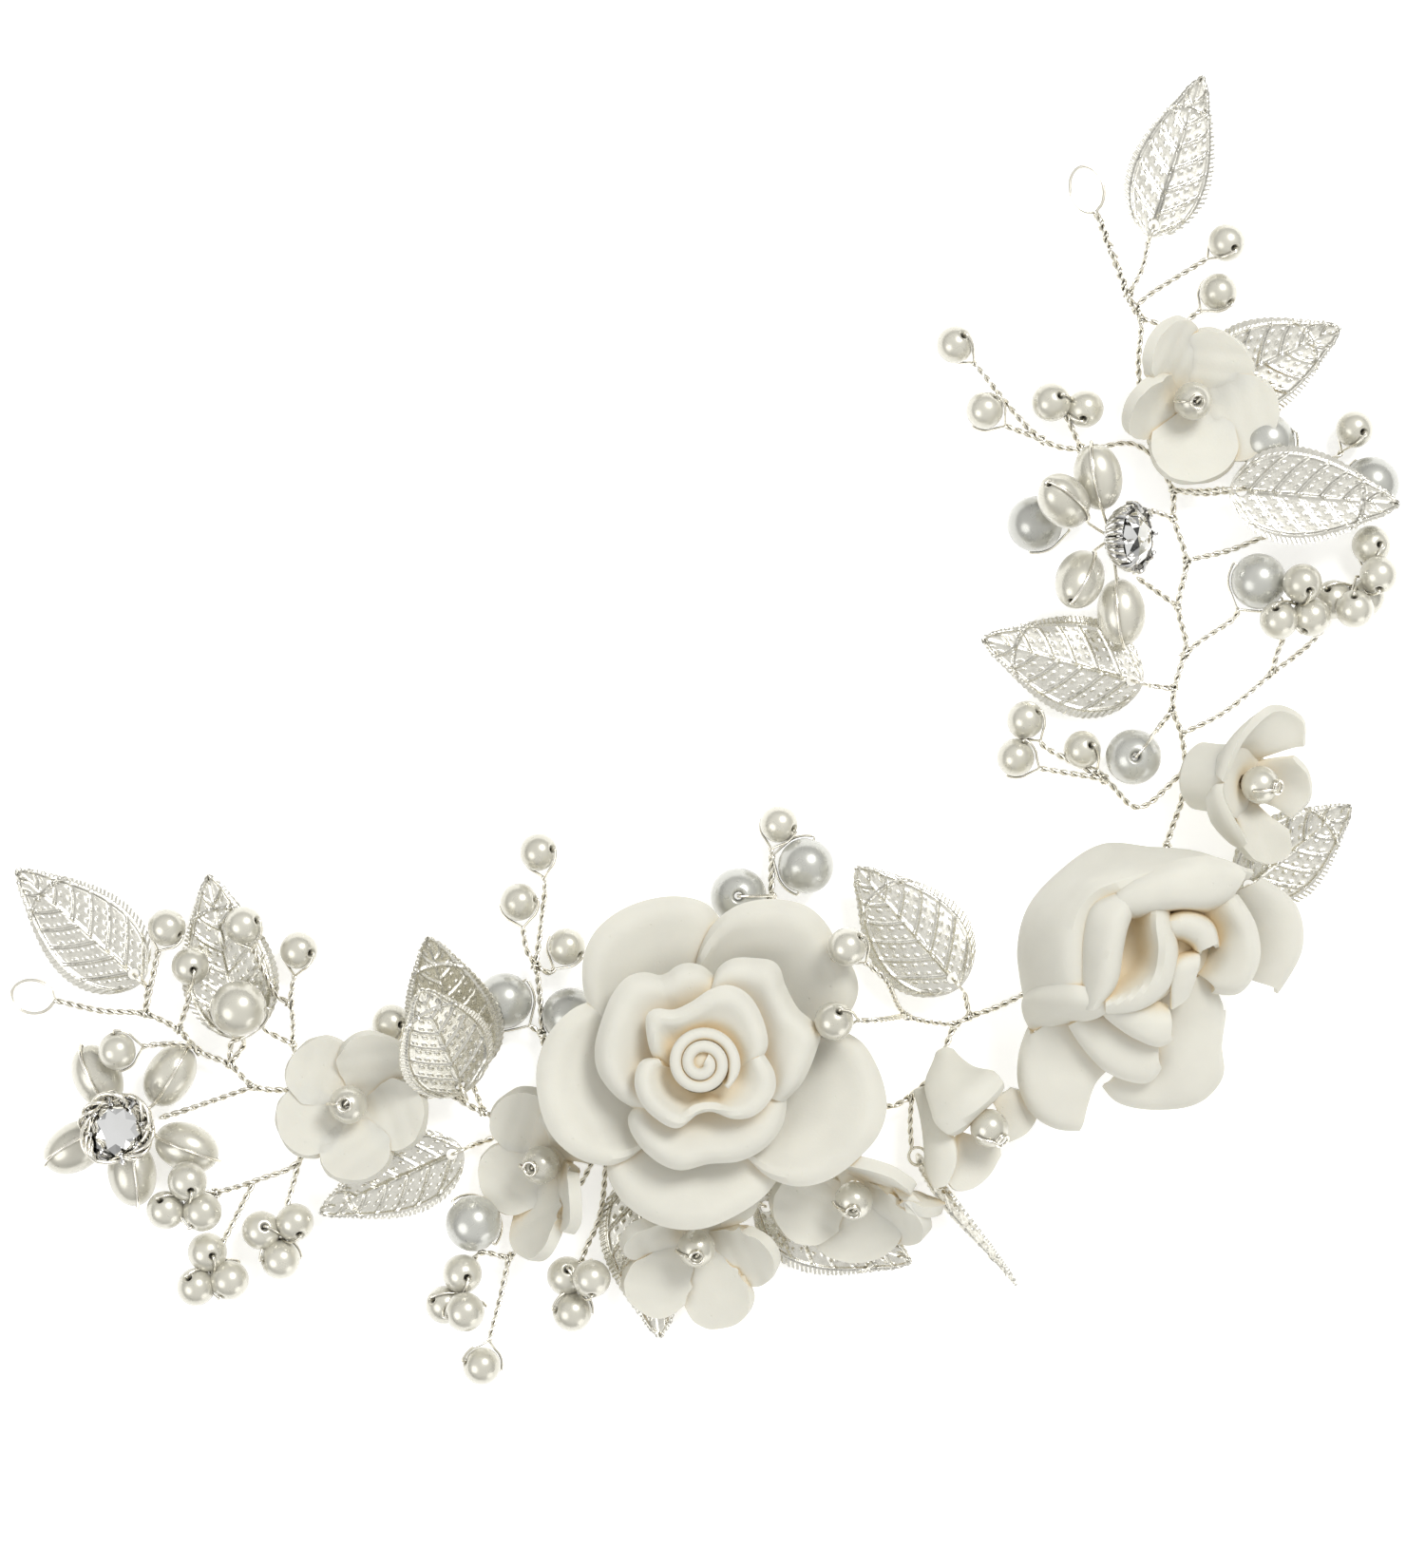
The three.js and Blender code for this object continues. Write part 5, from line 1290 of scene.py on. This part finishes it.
def oval_thread(k, middle, aim, hub):
    """The strand through an oval pearl and back over it to the hub."""
    over = across([0.25 * (-1) ** k, 0.1, 1], aim)
    path = [middle - aim * 4.6, middle, middle + aim * 4.0, middle + aim * 4.75 + over * 0.15]
    for a in np.radians((22, 48, 78, 108, 135, 155)):
        path.append(middle + aim * 4.65 * np.cos(a) + over * 3.46 * np.sin(a))
    return strand([*path, hub + over * 0.4], STRAND, 0.25)


def build_rhinestones():
    for i, beads in RHINESTONES.items():
        at, normal = CUPS[i]
        centre = vec(at)
        n = unit(normal)
        shape = Shape().add(*placed(cup_body(), n, centre))
        for k in range(8):
            shape.add(*placed(claw(2 * np.pi * (k + 0.25) / 8), n, centre))
        piece(f"rhinestone_{i}_claw_cup", shape, CUP_SILVER,
              replaces=f"rhinestone_{i}_cup", crease=40)
        if i == 1:
            piece("rhinestone_1_binding", binding_body(centre), WIRE_SILVER)
        gem = Shape().add(*placed(stone_body(), n, centre))
        made = piece(f"rhinestone_{i}_gem", gem, CRYSTAL, replaces=f"rhinestone_{i}_stone")
        made.data.shade_flat()
        threads = Shape()
        hub = centre + [0, 0, -1.2]
        for k, (where, aim) in enumerate(beads, 1):
            middle = vec(where)
            if aim is None:
                bore = tilted_bore(hub - middle, 20)
                ball = placed(bead(LARGE), bore, middle)
                threads.add(*bead_wire(middle, LARGE, bore, hub - middle))
            else:
                ball = placed(bead(3.2, 4.4, around=36, rings=22), unit(aim), middle)
                threads.add(*oval_thread(k, middle, unit(aim), hub))
            paint = GREY_PEARL if aim is None else IVORY_PEARL
            piece(f"rhinestone_{i}_bead_{k}", Shape().add(*ball), paint,
                  replaces=f"rhinestone_{i}_pearls")
        piece(f"rhinestone_{i}_thread", threads, WIRE_SILVER)


# ---------------------------------------------------------------- stage
def build_stage():
    bpy.ops.mesh.primitive_plane_add(size=6, location=(0, 0, -0.0002))
    floor = bpy.context.object
    floor.name = "floor"
    white, _ = material("floor_white", roughness=0.9, base_color=(0.94, 0.94, 0.935, 1),
                        emission_color=(1, 1, 1, 1), emission_strength=0.42)
    floor.data.materials.append(white)

    world = bpy.data.worlds.new("studio")
    world.use_nodes = True
    bpy.context.scene.world = world
    tree = world.node_tree
    sky = tree.nodes["Background"]
    where = tree.nodes.new("ShaderNodeTexCoord")
    split = tree.nodes.new("ShaderNodeSeparateXYZ")
    shade = tree.nodes.new("ShaderNodeValToRGB")
    tree.links.new(where.outputs["Generated"], split.inputs["Vector"])
    tree.links.new(split.outputs["Z"], shade.inputs["Fac"])
    tree.links.new(shade.outputs["Color"], sky.inputs["Color"])
    for element, (at, grey) in zip(shade.color_ramp.elements, ((0.02, 0.06), (0.62, 1.0))):
        element.position = at
        element.color = (grey, grey, grey, 1)
    sky.inputs["Strength"].default_value = 0.76

    def lamp(name, at, size, power):
        data = bpy.data.lights.new(name, "AREA")
        data.shape = "DISK"
        data.size = size
        data.energy = power
        made = bpy.data.objects.new(name, data)
        made.location = at
        made.rotation_euler = (-Vector(at)).to_track_quat("-Z", "Y").to_euler()
        bpy.context.scene.collection.objects.link(made)

    lamp("key", (0.35, 0.45, 0.75), 0.35, 5.2)
    lamp("fill", (-0.6, -0.3, 0.6), 0.6, 2.0)
    lamp("low", (0.42, -0.56, 0.12), 0.4, 0.8)

    camera = bpy.data.objects.new("camera", bpy.data.cameras.new("camera"))
    bpy.context.scene.collection.objects.link(camera)
    camera.data.lens = 100
    camera.data.sensor_width = 36
    camera.data.sensor_fit = "AUTO"
    camera.data.clip_end = 10
    x, y = (EYE + SHIFT[:2]) * MM
    camera.location = (x, y, (VIEW_HEIGHT * camera.data.lens / camera.data.sensor_width + LEVEL) * MM)
    bpy.context.scene.camera = camera
    bpy.context.scene.view_settings.view_transform = "Standard"


build_stage()
build_stems()
build_pearl_sprigs()
build_bunches()
build_large_pearls()
build_leaves()
build_flowers()
build_rose_1()
build_rose_2()
build_rhinestones()

bpy.context.view_layer.update()
